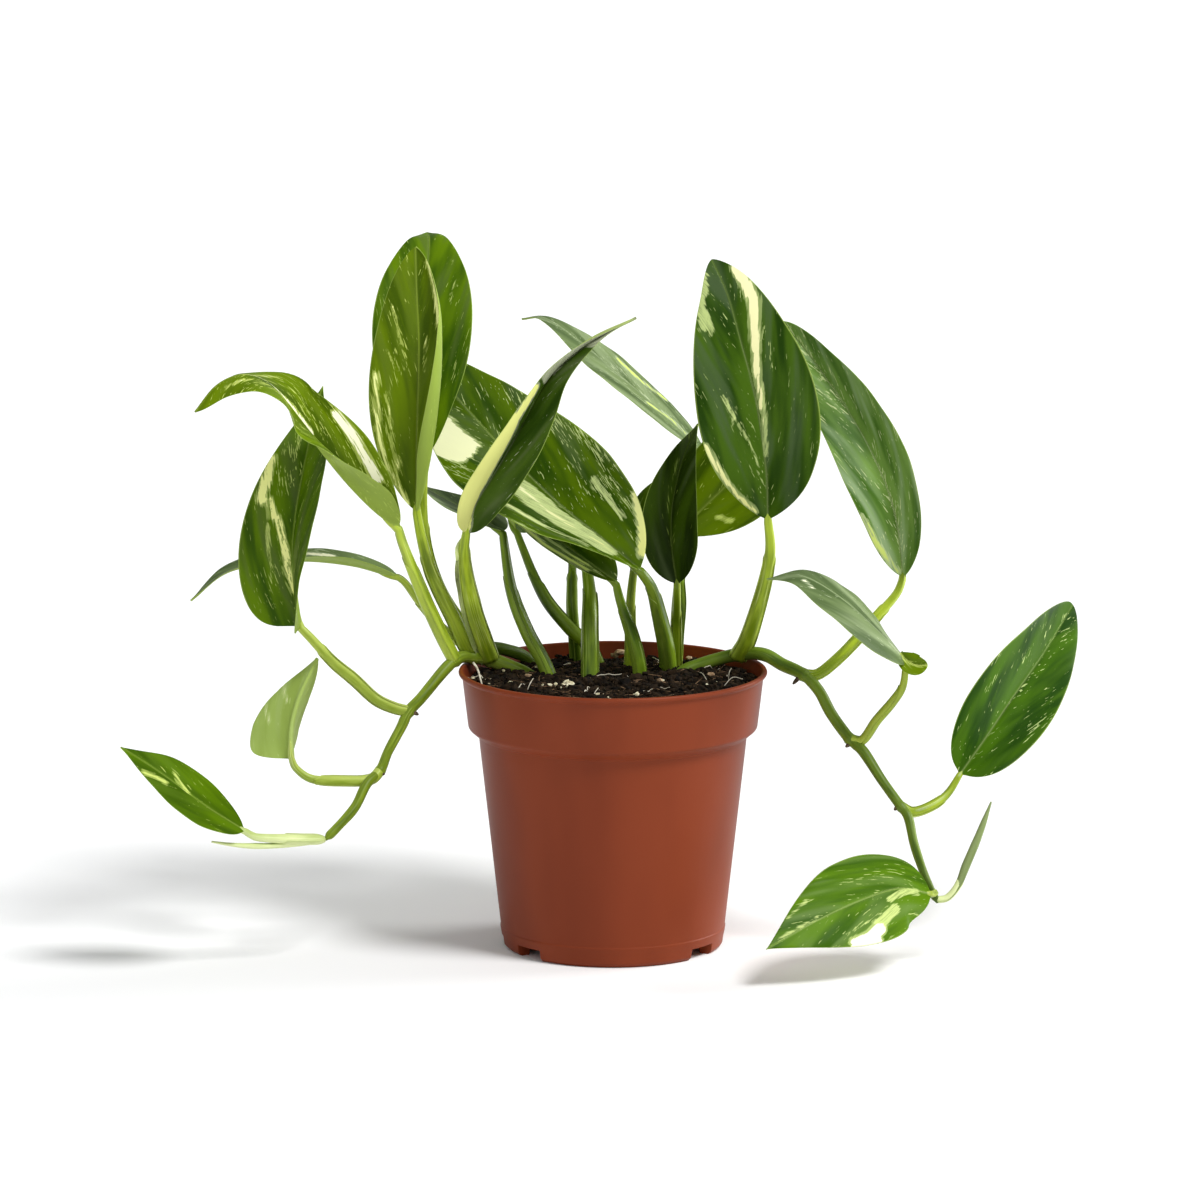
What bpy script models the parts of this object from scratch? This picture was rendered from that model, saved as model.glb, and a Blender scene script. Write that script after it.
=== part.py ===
"""Potted trailing monstera: a nursery pot, its soil, two trailing stems, leaf stalks and leaf blades.

Lengths are in millimetres here and become metres when a mesh is made. The origin is on the pot's
axis at floor level, +X is to the right, +Y to the back and +Z up. The plant faces -Y.
"""
from math import cos, pi, radians, sin

import bmesh
import bpy
import numpy as np
from mathutils import Vector

MM = 0.001
GAP = 0.3                      # clearance between pieces that touch
BLADE_GAP = 0.75               # from the end of a stalk to the foot of its blade

# pot
POT_HEIGHT = 109.0
RIM_RADIUS = 60.0
WALL = 1.2
BAND_FOOT = 84.5               # height where the wide rim band steps in
FOOT_HEIGHT = 4.6
FLOOR_TOP = FOOT_HEIGHT + WALL
FOOT_INNER_RADIUS = 37.5
FOOT_NOTCHES = (51.5, 90.0, 128.5, -51.5, -90.0, -128.5)    # degrees from the front
POT_TURN = 2.0                 # degrees that the pot is turned to the right
NOTCH_WIDTH = 12.5
DRAIN_RADIUS = 4.0
DRAIN_RING = 24.0
DRAIN_COUNT = 8
POT_STEPS = 48

# soil
SOIL_TOP = 104.5

# leaves
BLADE_THICKNESS = 0.6
BLADE_ROWS = 11
BLADE_COLUMNS = 4
BASE_HALF_WIDTH = 1.3
TUBE_STEP = 7.0                # spacing of a stalk's rings


# ---------------------------------------------------------------- scene
def clear_scene():
    for thing in list(bpy.data.objects):
        bpy.data.objects.remove(thing, do_unlink=True)


def new_collection(name):
    group = bpy.data.collections.new(name)
    bpy.context.scene.collection.children.link(group)
    return group


def material(name, colour, roughness):
    mat = bpy.data.materials.new(name)
    mat.use_nodes = True
    shader = mat.node_tree.nodes["Principled BSDF"]
    shader.inputs["Base Color"].default_value = (*colour, 1.0)
    shader.inputs["Roughness"].default_value = roughness
    shader.inputs["Metallic"].default_value = 0.0
    mat.diffuse_color = (*colour, 1.0)
    return mat


def add_object(name, mesh, group, mat):
    obj = bpy.data.objects.new(name, mesh)
    group.objects.link(obj)
    if mat is not None:
        obj.data.materials.append(mat)
    return obj


def hide_helper(obj):
    obj.hide_render = True
    obj.display_type = "WIRE"


def cut(obj, cutter):
    """Take the cutter away from the object, and leave the modifier live."""
    hide_helper(cutter)
    boolean = obj.modifiers.new("cut by " + cutter.name, "BOOLEAN")
    boolean.operation = "DIFFERENCE"
    boolean.solver = "EXACT"
    boolean.object = cutter


# ---------------------------------------------------------------- curves in space
def through(points, count):
    """Evenly spaced points on the smooth (Catmull-Rom) curve that passes through the given ones."""
    knots = np.array(points, dtype=float)
    ends = np.vstack([2 * knots[0] - knots[1], knots, 2 * knots[-1] - knots[-2]])
    t = np.linspace(0.0, 1.0, 24, endpoint=False)[:, None]
    pieces = []
    for a, b, c, d in zip(ends[:-3], ends[1:-2], ends[2:-1], ends[3:]):
        pieces.append(0.5 * (2 * b + (c - a) * t + (2 * a - 5 * b + 4 * c - d) * t ** 2
                             + (3 * b - a - 3 * c + d) * t ** 3))
    dense = np.vstack(pieces + [knots[-1:]])
    reach = np.concatenate([[0.0], np.cumsum(np.linalg.norm(np.diff(dense, axis=0), axis=1))])
    even = np.linspace(0.0, reach[-1], count)
    return np.stack([np.interp(even, reach, dense[:, axis]) for axis in range(3)], axis=1)


def length_of(points):
    dense = through(points, 60)
    return float(np.linalg.norm(np.diff(dense, axis=0), axis=1).sum())


def tube(name, points, radii, group, mat):
    """A round stalk: a curve with a bevel, whose radius runs smoothly through the given radii."""
    count = max(4, round(length_of(points) / TUBE_STEP) + 1)
    route = through(points, count)
    sizes = np.interp(np.linspace(0, 1, count), np.linspace(0, 1, len(radii)), radii)
    data = bpy.data.curves.new(name, "CURVE")
    data.dimensions = "3D"
    data.bevel_depth = MM
    data.bevel_resolution = 2
    data.use_fill_caps = True
    spline = data.splines.new("POLY")
    spline.points.add(count - 1)
    for point, place, radius in zip(spline.points, route, sizes):
        point.co = (*(place * MM), 1.0)
        point.radius = radius
    return add_object(name, data, group, mat)


def as_mesh(curve_object, group):
    """The curve's own mesh with its caps welded on, in a new object that takes the curve's place."""
    bpy.context.view_layer.update()
    graph = bpy.context.evaluated_depsgraph_get()
    mesh = bpy.data.meshes.new_from_object(curve_object.evaluated_get(graph))
    bm = bmesh.new()
    bm.from_mesh(mesh)
    bmesh.ops.remove_doubles(bm, verts=bm.verts, dist=0.00001)
    bm.to_mesh(mesh)
    bm.free()
    mesh.shade_smooth()
    name = curve_object.name
    place = curve_object.matrix_world.copy()
    bpy.data.objects.remove(curve_object, do_unlink=True)
    solid = bpy.data.objects.new(name, mesh)
    group.objects.link(solid)
    solid.matrix_world = place
    return solid


# ---------------------------------------------------------------- the pot
def pot_profile():
    """(radius, height) from the rim down the outside, under the floor, and up the inside."""
    lip = [(RIM_RADIUS - 1.2, POT_HEIGHT), (RIM_RADIUS - 0.3, POT_HEIGHT - 0.4),
           (RIM_RADIUS, POT_HEIGHT - 1.3), (RIM_RADIUS - 1.6, POT_HEIGHT - 2.6)]
    band = [(57.4, 97.0), (56.1, BAND_FOOT + 3.6), (53.2, BAND_FOOT + 0.2), (53.0, BAND_FOOT - 0.7),
            (52.1, BAND_FOOT - 1.0)]
    wall = [(51.7, 79.0), (43.4, 4.6), (43.0, 1.6), (41.6, 0.0)]
    under = [(FOOT_INNER_RADIUS + 0.6, 0.0), (FOOT_INNER_RADIUS, FOOT_HEIGHT), (0.0, FOOT_HEIGHT)]
    inside = [(0.0, FLOOR_TOP), (43.4 - WALL, FLOOR_TOP), (51.7 - WALL, 79.0),
              (52.4 - WALL, BAND_FOOT), (56.1 - WALL, BAND_FOOT + 4.6), (57.4 - WALL, 97.0), (RIM_RADIUS - 2.2, POT_HEIGHT - 2.0),
              (RIM_RADIUS - 2.0, POT_HEIGHT - 0.4)]
    return lip + band + wall + under + inside


def turned(name, profile, steps, group, mat):
    """A profile in the XZ plane, turned once about Z by a Screw modifier."""
    bm = bmesh.new()
    corners = [bm.verts.new((radius * MM, 0.0, height * MM)) for radius, height in profile]
    for here, after in zip(corners, corners[1:] + corners[:1]):
        if here.co.x > 0.0 or after.co.x > 0.0:
            bm.edges.new((here, after))
    mesh = bpy.data.meshes.new(name)
    bm.to_mesh(mesh)
    bm.free()
    obj = add_object(name, mesh, group, mat)
    screw = obj.modifiers.new("turn", "SCREW")
    screw.steps = steps
    screw.render_steps = steps
    screw.use_merge_vertices = True
    screw.merge_threshold = 0.00001
    screw.use_smooth_shade = True
    return obj


def box(name, size, place, turn, group):
    bm = bmesh.new()
    bmesh.ops.create_cube(bm, size=1.0)
    bmesh.ops.scale(bm, vec=Vector(size) * MM, verts=bm.verts)
    mesh = bpy.data.meshes.new(name)
    bm.to_mesh(mesh)
    bm.free()
    obj = add_object(name, mesh, group, None)
    obj.location = Vector(place) * MM
    obj.rotation_euler.z = turn
    return obj


def cylinder(name, radius, low, high, place, group, segments=16):
    bm = bmesh.new()
    bmesh.ops.create_cone(bm, segments=segments, cap_ends=True, radius1=radius * MM, radius2=radius * MM,
                          depth=(high - low) * MM)
    mesh = bpy.data.meshes.new(name)
    bm.to_mesh(mesh)
    bm.free()
    obj = add_object(name, mesh, group, None)
    obj.location = Vector((place[0], place[1], (high + low) / 2)) * MM
    return obj


def make_pot(parts, cutters, mat):
    pot = turned("pot", pot_profile(), POT_STEPS, parts, mat)
    ring = (FOOT_INNER_RADIUS + 43.0) / 2
    for number, angle in enumerate(FOOT_NOTCHES):
        turn = radians(angle + POT_TURN)
        place = (ring * sin(turn), -ring * cos(turn), FOOT_HEIGHT / 2 - 1.0)
        notch = box(f"foot_notch_{number + 1}", (NOTCH_WIDTH, 14.0, FOOT_HEIGHT + 2.0), place, turn, cutters)
        cut(pot, notch)
    for number in range(DRAIN_COUNT + 1):
        turn = 2 * pi * number / DRAIN_COUNT
        place = (0.0, 0.0) if number == DRAIN_COUNT else (DRAIN_RING * cos(turn), DRAIN_RING * sin(turn))
        drain = cylinder(f"drain_hole_{number + 1}", DRAIN_RADIUS, FOOT_HEIGHT - 1, FLOOR_TOP + 1, place, cutters)
        cut(pot, drain)
    return pot


# ---------------------------------------------------------------- the soil
def make_soil(parts, mat):
    """The root ball: a plug that fills the pot to SOIL_TOP, a little lower at the wall."""
    wall = 2 * GAP
    profile = [(0.0, SOIL_TOP), (44.0, SOIL_TOP), (56.0 - wall, SOIL_TOP - 1.6), (56.1 - wall, 97.0),
               (54.9 - wall, BAND_FOOT + 4.6), (51.2 - wall, BAND_FOOT), (50.5 - wall, 79.0), (42.2 - wall, FLOOR_TOP + GAP),
               (0.0, FLOOR_TOP + GAP)]
    return turned("soil", profile, POT_STEPS, parts, mat)


# ---------------------------------------------------------------- leaf blades
def unit(vectors):
    return vectors / np.linalg.norm(vectors, axis=-1, keepdims=True)


def facing(azimuth, elevation):
    """The direction that looks `azimuth` degrees from the front towards +X and `elevation` up."""
    a, e = radians(azimuth), radians(elevation)
    return np.array([sin(a) * cos(e), -cos(a) * cos(e), sin(e)])


def half_width(s, width, widest, ends):
    """Lance-shaped outline: round at the base, drawn out at the tip, widest at s = widest."""
    bend = np.log(0.5) / np.log(widest)
    return width / 2 * np.sin(pi * np.clip(s, 0.0, 1.0) ** bend) ** (ends[0] + (ends[1] - ends[0]) * s)


def blade_grid(leaf, rows, columns):
    """Points of the blade: rows along the midrib, columns from the left margin to the right one.

    Each half leaves the midrib at its fold angle and turns by its curl angle on the way to the
    margin, so that a point at t (0 midrib, 1 margin) goes out in the direction fold + curl * t^1.5.
    """
    spine = through(leaf["path"], rows + 1)
    along = unit(np.gradient(spine, axis=0))
    s = np.linspace(0.0, 1.0, rows + 1)
    look = facing(*leaf["face"][0]) * (1 - s[:, None]) + facing(*leaf["face"][1]) * s[:, None]
    look = unit(look - (look * along).sum(axis=1, keepdims=True) * along)
    right = np.cross(along, look)
    reach = np.maximum(half_width(s, leaf["width"], leaf["widest"], leaf["ends"]), BASE_HALF_WIDTH * (1 - 0.75 * s))
    r = np.linspace(-1.0, 1.0, columns + 1)
    grid = np.zeros((rows + 1, columns + 1, 3))
    for column, side in enumerate(r):
        fold0, fold1, curl0, curl1 = leaf["right"] if side > 0 else leaf["left"]
        t = abs(side) * (np.arange(16) + 0.5) / 16
        fold = np.radians(fold0 + (fold1 - fold0) * s)[:, None]
        curl = np.radians(curl0 + (curl1 - curl0) * s)[:, None]
        turn = fold + curl * t ** 1.5
        out = np.cos(turn).mean(axis=1) * side
        lift = np.sin(turn).mean(axis=1) * abs(side)
        grid[:, column] = spine + reach[:, None] * (out[:, None] * right + lift[:, None] * look)
    return grid


def blade(name, leaf, group, mat):
    """A grid of faces laid on the blade's surface and given its thickness by Solidify."""
    rows = leaf.get("rows", BLADE_ROWS)
    columns = leaf.get("columns", BLADE_COLUMNS)
    grid = blade_grid(leaf, rows, columns) * MM
    bm = bmesh.new()
    bmesh.ops.create_grid(bm, x_segments=columns, y_segments=rows, size=1.0)
    for corner in bm.verts:
        column = round((corner.co.x + 1) / 2 * columns)
        row = round((corner.co.y + 1) / 2 * rows)
        corner.co = grid[row, column]
    mesh = bpy.data.meshes.new(name)
    bm.to_mesh(mesh)
    bm.free()
    mesh.shade_smooth()
    obj = add_object(name, mesh, group, mat)
    shell = obj.modifiers.new("thickness", "SOLIDIFY")
    shell.thickness = BLADE_THICKNESS * MM
    shell.offset = 0.0
    return obj


FLAT = (10, 10, 0, 0)          # fold at base and tip, curl at base and tip, in degrees


def leaf(path, width, face, left=FLAT, right=FLAT, widest=0.42, ends=(0.75, 1.05), **more):
    return dict(path=path, width=width, face=face, left=left, right=right, widest=widest, ends=ends, **more)


# Each blade: its midrib from base to tip, its full width, the directions that its upper side looks
# at the base and at the tip (azimuth, elevation), and the fold and curl of its two halves.
BLADES = {
    # left of the pot
    "leaf_left_back_tall": leaf(
        [(-73, 20, 189), (-75, 22, 211), (-74.5, 28, 233), (-73.5, 34, 247), (-72.5, 44, 259),
         (-72, 56, 269), (-73, 66, 271)],
        39, ((0, 10), (0, 40)), (15, 5, -10, 0), (10, 0, -10, 0), 0.5, (0.75, 0.75)),
    "leaf_left_front_tall": leaf(
        [(-76, 2, 171), (-75.5, -6, 200), (-74.5, -6, 235), (-75.5, 0, 259), (-76, 6, 273)],
        38, ((0, 0), (0, 20)), (0, 0, 0, 0), (8, 0, 265, 70), 0.48, (0.75, 0.70), columns=6),
    "leaf_left_arching": leaf(
        [(-83, -5, 166), (-92, -10, 174), (-102, -18, 186), (-111, -26, 199), (-118, -34, 211),
         (-125, -41, 222), (-132.5, -49, 230), (-141, -56, 232.5), (-149.5, -61.5, 229), (-157, -66, 220)],
        38, ((57, 38), (-50, 45)), (90, -40, 0, 0), (82, -62, 0, 0), 0.42, (0.75, 0.7)),
    "leaf_left_upright": leaf(
        [(-121, -16, 129), (-123, -20, 152), (-121.5, -18, 174), (-117, -8, 198), (-112, 6, 219)],
        42, ((-10, 10), (-10, 20)), (5, 5, 0, 0), (86, 18, 0, 0), 0.27, (0.5, 1.0)),
    "leaf_left_back_thin": leaf(
        [(-85, 22, 142), (-103, 26, 146), (-126, 28, 147), (-150, 26, 143), (-165, 22, 132)],
        16, ((0, 88), (0, 88)), (34, 8, 0, 0), (34, 8, 0, 0), 0.45, (0.55, 1.0)),
    "leaf_left_pale": leaf(
        [(-124, -22, 78), (-124, -20, 89), (-121, -18, 101), (-114, -14, 116)],
        38, ((160, 10), (170, 10)), (115, 60, 0, 0), (0, 65, 0, 0), 0.20, (0.75, 0.75)),
    "leaf_left_end": leaf(
        [(-141.5, -45, 55), (-155.5, -50, 65.5), (-171, -55, 78.5), (-187, -58, 90)],
        27, ((25, 50), (15, 50)), (15, 5, 0, 0), (-5, -5, 0, 0), 0.42),
    # middle of the pot
    "leaf_middle_large": leaf(
        [(10, -4, 149), (-5, 6, 160), (-21, 17, 171), (-40, 34, 187), (-60.5, 50, 207), (-83, 66, 230.5)],
        57, ((33, 37), (8, 18)), (34, -22, 0, 0), (48, -20, 0, 0), 0.38, (0.80, 0.85), rows=13),
    "leaf_middle_low": leaf(
        [(1, 8, 142), (-21, 20, 156), (-40, 38, 168), (-54, 50, 178)],
        30, ((33, 37), (33, 37)), (25, 20, 0, 0), (25, 20, 0, 0), 0.42),
    "leaf_middle_folded": leaf(
        [(-56.5, -6, 164), (-53, -9, 175), (-47, -8, 185), (-38.5, -5, 199), (-32, -2, 211),
         (-23.5, 2, 225), (-9, 6, 237), (9, 10, 245)],
        26, ((20, 5), (10, 5)), (42, 115, -55, -50), (35, 65, 0, 0), 0.35, columns=6),
    "leaf_back_thin": leaf(
        [(35, 46, 187), (21, 52, 200), (3, 60, 215), (-15, 68, 229), (-27, 74, 236), (-36, 80, 235)],
        30, ((68, 53), (0, 78)), (5, 5, 0, 0), (0, -5, 0, 0), 0.38),
    "leaf_middle_dark": leaf(
        [(25, 16, 140), (23, 14, 155), (23, 13, 171), (27, 16, 188), (33, 21, 202)],
        26, ((-5, 5), (-5, 15)), (25, 40, 0, 0), (25, 40, 0, 0), 0.38, (0.9, 1.05)),
    "leaf_middle_behind": leaf(
        [(27, 40, 156), (36, 40, 166), (54, 38, 184), (70, 42, 200), (81, 48, 210)],
        38, ((-10, 15), (0, 15)), (10, 5, 0, 0), (10, 5, 0, 0), 0.42),
    "leaf_back_small": leaf(
        [(9, 26, 150), (14, 28, 162), (21, 29, 173), (29, 30, 184)],
        18, ((-10, 10), (-10, 10)), (10, 5, 0, 0), (10, 5, 0, 0), 0.45),
    "leaf_middle_grey": leaf(
        [(-43, 20, 160), (-54, 28, 165), (-66, 36, 170), (-75, 42, 174)],
        32, ((67, 56), (67, 56)), (5, 5, 0, 0), (5, 5, 0, 0), 0.42),
    "leaf_back_left": leaf(
        [(-38, 50, 155), (-43, 60, 163), (-47, 70, 166), (-50, 80, 162)],
        36, ((170, 50), (175, 70)), (15, 10, 0, 0), (15, 10, 0, 0), 0.42),
    "leaf_back_middle": leaf(
        [(-16, 49, 155), (-12, 58, 163), (-7, 68, 166), (-1, 79, 162)],
        34, ((180, 50), (180, 75)), (15, 10, 0, 0), (15, 10, 0, 0), 0.42),
    "leaf_back_right": leaf(
        [(-10.5, 38.5, 147.3), (-2, 47, 151), (9, 59, 151), (22, 72, 146)],
        30, ((160, 75), (150, 85)), (10, 10, 0, 0), (10, 10, 0, 0), 0.42),
    # right of the pot
    "leaf_right_tall": leaf(
        [(60, 6, 167), (59, -2, 188), (55, -6, 215), (49, -4, 238), (44, 2, 255), (38, 8, 268)],
        48, ((0, 5), (0, 15)), (15, 10, -10, 0), (20, 15, -20, 0), 0.43, (0.9, 0.7)),
    "leaf_right_arching": leaf(
        [(113, 14, 143), (109, 10, 170), (98.5, 16, 195.5), (84, 28, 217.5), (70, 42, 234), (61, 50, 237.5)],
        32, ((-12, 5), (-12, 15)), (34, 30, 0, 0), (34, 30, 0, 0), 0.38, (0.95, 0.85)),
    "leaf_right_drooping": leaf(
        [(113, -16, 115), (103, -22, 127), (87, -26, 142), (72, -24, 150), (59, -20, 148)],
        30, ((57, 56), (30, 65)), (-8, -8, 0, 0), (-8, -8, 0, 0), 0.42),
    "leaf_right_upright": leaf(
        [(135, -6, 69), (144.5, 4, 80), (157, 22, 94), (170, 44, 107), (183, 70, 121.5)],
        36, ((-5, 10), (0, 15)), (25, 48, 0, 0), (20, -15, 0, 0), 0.36, (0.6, 0.55)),
    "leaf_right_end": leaf(
        [(122, -39.5, 28.6), (110, -45, 32), (96, -54, 30), (79, -66, 25), (58, -78, 16)],
        37, ((25, 30), (25, 35)), (-5, 5, 0, 0), (-18, -5, 0, 0), 0.36),
}

# Each stalk: the way from where it grows to where its blade begins, and its radii on the way.
# The last word is what it grows from: the soil or a stem.
STALKS = {
    "stalk_left_back_tall": (
        [(-49, 26, 113.5), (-58, 21, 122), (-66, 19.5, 134), (-71, 18.5, 147), (-73.5, 19, 160), (-74, 20, 174),
         (-73, 20, 189)],
        (2.5, 2.2, 1.6), "stem_back_left"),
    "stalk_left_front_tall": (
        [(-55, 13, 111.5), (-58, 11.5, 117), (-62, 9, 127), (-66.5, 6, 137), (-71, 3.5, 148), (-74, 2, 160),
         (-76, 2, 171)],
        (2.9, 2.6, 1.7), "stem_left"),
    "stalk_left_arching": (
        [(-61.5, 6.5, 111.5), (-66, 3, 121), (-71.5, -1, 134), (-76.5, -4, 147), (-81, -5, 159), (-83, -5, 166)],
        (2.7, 2.5, 1.8), "stem_left"),
    "stalk_left_upright": (
        [(-79, -9, 94), (-85, -11, 96), (-92, -13, 100), (-100, -15, 108), (-108, -16, 115), (-116, -17, 124),
         (-121, -16, 129)],
        (2.0, 2.2, 1.6), "stem_left"),
    "stalk_left_back_thin": (
        [(-57, 20, 114), (-66, 20, 121), (-75, 21, 131), (-81, 22, 139), (-85, 22, 142)],
        (2.0, 1.8, 1.4), "stem_back_left"),
    "stalk_left_pale": (
        [(-90, -16, 72), (-94, -19, 69), (-105, -21, 69), (-116, -22, 70), (-122, -22, 74), (-124, -22, 78)],
        (1.9, 1.9, 1.3), "stem_left"),
    "stalk_left_end": (
        [(-110.5, -37, 49.5), (-120, -39, 50), (-135, -43, 51.5), (-139, -44, 53), (-141.5, -45, 55)],
        (1.9, 1.9, 1.3), "stem_left"),
    "stalk_middle_large": (
        [(22, 25, 98), (22, 24, 104), (21, 18, 114), (18, 8, 129), (15, 0, 141), (10, -4, 149)],
        (3.6, 3.0, 1.8), "soil"),
    "stalk_middle_low": (
        [(11, 8, 98), (10, 8, 110), (7, 8, 122), (3, 8, 134), (1, 8, 142)],
        (2.5, 2.4, 1.5), "soil"),
    "stalk_middle_folded": (
        [(-48, 15.5, 110), (-50.5, 12, 118), (-54.5, 5, 132), (-57, 0, 146), (-57.5, -4, 156), (-56.5, -6, 164)],
        (3.7, 3.3, 1.6), "stem_left"),
    "stalk_back_thin": (
        [(25, 43, 98), (25, 44.5, 110), (25, 44, 122), (27, 43.5, 140), (32, 44, 156), (34, 45, 172),
         (35, 46, 187)],
        (1.9, 1.8, 1.3), "soil"),
    "stalk_middle_dark": (
        [(25, 33, 98), (25, 30, 108), (25, 24, 120), (25, 18, 132), (25, 16, 140)],
        (2.2, 1.8, 1.4), "soil"),
    "stalk_middle_behind": (
        [(25, 38, 98), (26, 37.5, 115), (27, 37, 129), (26, 38, 144), (26.8, 39.8, 155.8)],
        (2.0, 1.8, 1.4), "soil"),
    "stalk_back_small": (
        [(6, 25, 98), (7, 25, 112), (7, 26, 131), (9, 26, 150)],
        (2.2, 2.0, 1.4), "soil"),
    "stalk_middle_grey": (
        [(-22, 8, 98), (-24, 8, 103), (-27.5, 10, 111), (-33.5, 12, 122), (-39.5, 15, 138), (-43, 20, 160)],
        (2.8, 2.6, 1.6), "soil"),
    "stalk_back_left": (
        [(-4, 37, 98), (-9, 34, 111), (-17, 34, 119), (-25.5, 36, 129), (-31, 40, 139), (-35, 45, 148),
         (-38, 50, 155)],
        (2.8, 2.4, 1.5), "soil"),
    "stalk_back_middle": (
        [(-14, 46, 98), (-15, 44, 112), (-16, 42, 125), (-16, 44, 140), (-16, 49, 155)],
        (2.4, 2.1, 1.4), "soil"),
    "stalk_back_right": (
        [(-9, 6, 98), (-9, 9, 110), (-9, 14, 122), (-9, 22, 134), (-10, 30, 142), (-11, 38, 147)],
        (3.3, 3.0, 1.8), "soil"),
    "stalk_right_tall": (
        [(49, 20, 110), (53, 15, 119), (58.5, 10, 139), (61, 8, 154), (60, 6, 167)],
        (3.5, 2.7, 1.6), "stem_right"),
    "stalk_right_arching": (
        [(74, 4, 106), (80, 5, 106), (88, 7, 112), (96, 9, 120), (104, 11, 129), (110.5, 13, 136.5), (113, 13.8, 142.8)],
        (2.0, 2.1, 1.5), "stem_right"),
    "stalk_right_drooping": (
        [(92, -4, 82), (97, -6, 82), (102, -9, 90), (108, -12, 98), (112, -14, 105), (113, -16, 115)],
        (1.9, 1.9, 1.3), "stem_right"),
    "stalk_right_upright": (
        [(111, -20, 59), (116, -18, 56), (124, -14, 58), (130, -10, 62), (135, -6, 69)],
        (1.8, 1.8, 1.2), "stem_right"),
    "stalk_right_end": (
        [(124, -34.5, 28), (123, -37, 28), (122, -39.5, 28.6)],
        (1.4, 1.3, 1.2), "stem_right"),
    "leaf_right_rolled": (
        [(124.8, -34, 25), (129, -34, 26), (133, -34, 31), (136, -32, 38), (141, -28, 49), (146, -22, 61)],
        (1.3, 1.6, 2.1, 2.0, 1.5, 0.4), "stem_right"),
}

# Each stem: its way out of the soil, over the rim and down, and its radii on the way.
STEMS = {
    "stem_left": (
        [(-28, 13, 98), (-34, 15, 104), (-41, 16, 107), (-49, 16, 110), (-56, 11, 111.8), (-60, 8, 111.8),
         (-65, 3, 108.5), (-74, -6, 99), (-79, -9, 94), (-82, -11, 88), (-87, -14, 79), (-90, -16, 72),
         (-95, -22, 68), (-99.5, -28, 60), (-106.5, -34, 53), (-110.5, -37, 49.5)],
        (3.2, 2.6, 2.1, 1.9, 1.8)),
    "stem_right": (
        [(23, 17, 98), (28, 20, 104), (36, 22, 107), (46, 22, 110), (54, 17, 112), (60, 12, 112),
         (66, 9, 109), (74, 4, 106), (80, 2, 100), (85, 0, 91), (92, -4, 82), (97, -8, 78), (104, -14, 68),
         (111, -20, 59), (114, -23, 55), (116, -28, 46), (119, -31, 37), (122, -34, 30), (125, -34.5, 24)],
        (2.7, 2.6, 2.2, 1.9, 1.5)),
    "stem_back_left": (
        [(-28, 38, 98), (-34, 38, 106), (-42, 32, 110.5), (-50, 25, 113), (-57, 20, 114)],
        (2.4, 2.4, 2.2)),
}

SHEATH = ("sheath_left_end", [(-129, -41, 48), (-139, -44, 48.5), (-146.5, -46, 49.5), (-153.5, -48, 51)],
          (1.1, 1.2, 0.8, 0.35))


# ---------------------------------------------------------------- the plant
def further(points, by):
    """The place `by` beyond the end of a route."""
    last, before = np.array(points[-1], float), np.array(points[-2], float)
    return tuple(last + (last - before) / np.linalg.norm(last - before) * by)


def clearance(name, points, radii, group):
    """A cutter: the tube of a stalk or stem, GAP wider all round and a little longer at both ends."""
    first, second = np.array(points[0], float), np.array(points[1], float)
    down = (first - second) / np.linalg.norm(first - second)
    longer = [tuple(first + down * 1.5 * GAP)] + list(points[1:-1]) + [further(points, 1.5 * GAP)]
    wider = [radius + GAP for radius in radii]
    cutter = as_mesh(tube(name + "_clearance", longer, wider, group, None), group)
    hide_helper(cutter)
    return cutter


def make_plant(parts, cutters, soil, greens):
    room = {}
    for name, (points, radii) in STEMS.items():
        tube(name, points, radii, parts, greens["stem"])
        room[name] = clearance(name, points, radii, cutters)
        cut(soil, room[name])
    for name, (points, radii, grows_from) in STALKS.items():
        ends_in_blade = name.startswith("stalk")
        route = points[:-1] + [further(points, -BLADE_GAP)] if ends_in_blade else points
        stalk = tube(name, route, radii, parts, greens["stalk"])
        if grows_from == "soil":
            cut(soil, clearance(name, points[:4], radii[:1] * 2, cutters))
        else:
            solid = as_mesh(stalk, parts)
            solid.data.materials.clear()
            solid.data.materials.append(greens["stalk"])
            cut(solid, room[grows_from])
    name, points, radii = SHEATH
    tube(name, points, radii, parts, greens["stalk"])
    for name, shape in BLADES.items():
        blade(name, shape, parts, greens["blade"])


def main():
    clear_scene()
    parts = new_collection("potted_monstera")
    cutters = new_collection("cutters")
    make_pot(parts, cutters, material("terracotta plastic", (0.36, 0.09, 0.04), 0.45))
    soil = make_soil(parts, material("peat", (0.03, 0.02, 0.015), 0.95))
    greens = {
        "stem": material("stem green", (0.10, 0.20, 0.04), 0.45),
        "stalk": material("stalk green", (0.20, 0.36, 0.07), 0.4),
        "blade": material("blade green", (0.05, 0.17, 0.03), 0.35),
    }
    make_plant(parts, cutters, soil, greens)


main()
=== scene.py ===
# %% [markdown]
# # A potted trailing monstera
# This plant is a young variegated monstera of the trailing kind: its leaves are whole and
# lance-shaped, splashed with cream, and it stands in a small nursery pot that two of its stems
# climb out of. The cells below dress the solid model of that plant with fine surfaces: pot, soil,
# stems, leaf stalks and leaf blades, in the order in which a gardener would put them together.
#
# All lengths are in millimetres until a mesh is made. The plant faces -Y, its right is +X.

from math import cos, pi, radians, sin

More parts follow.
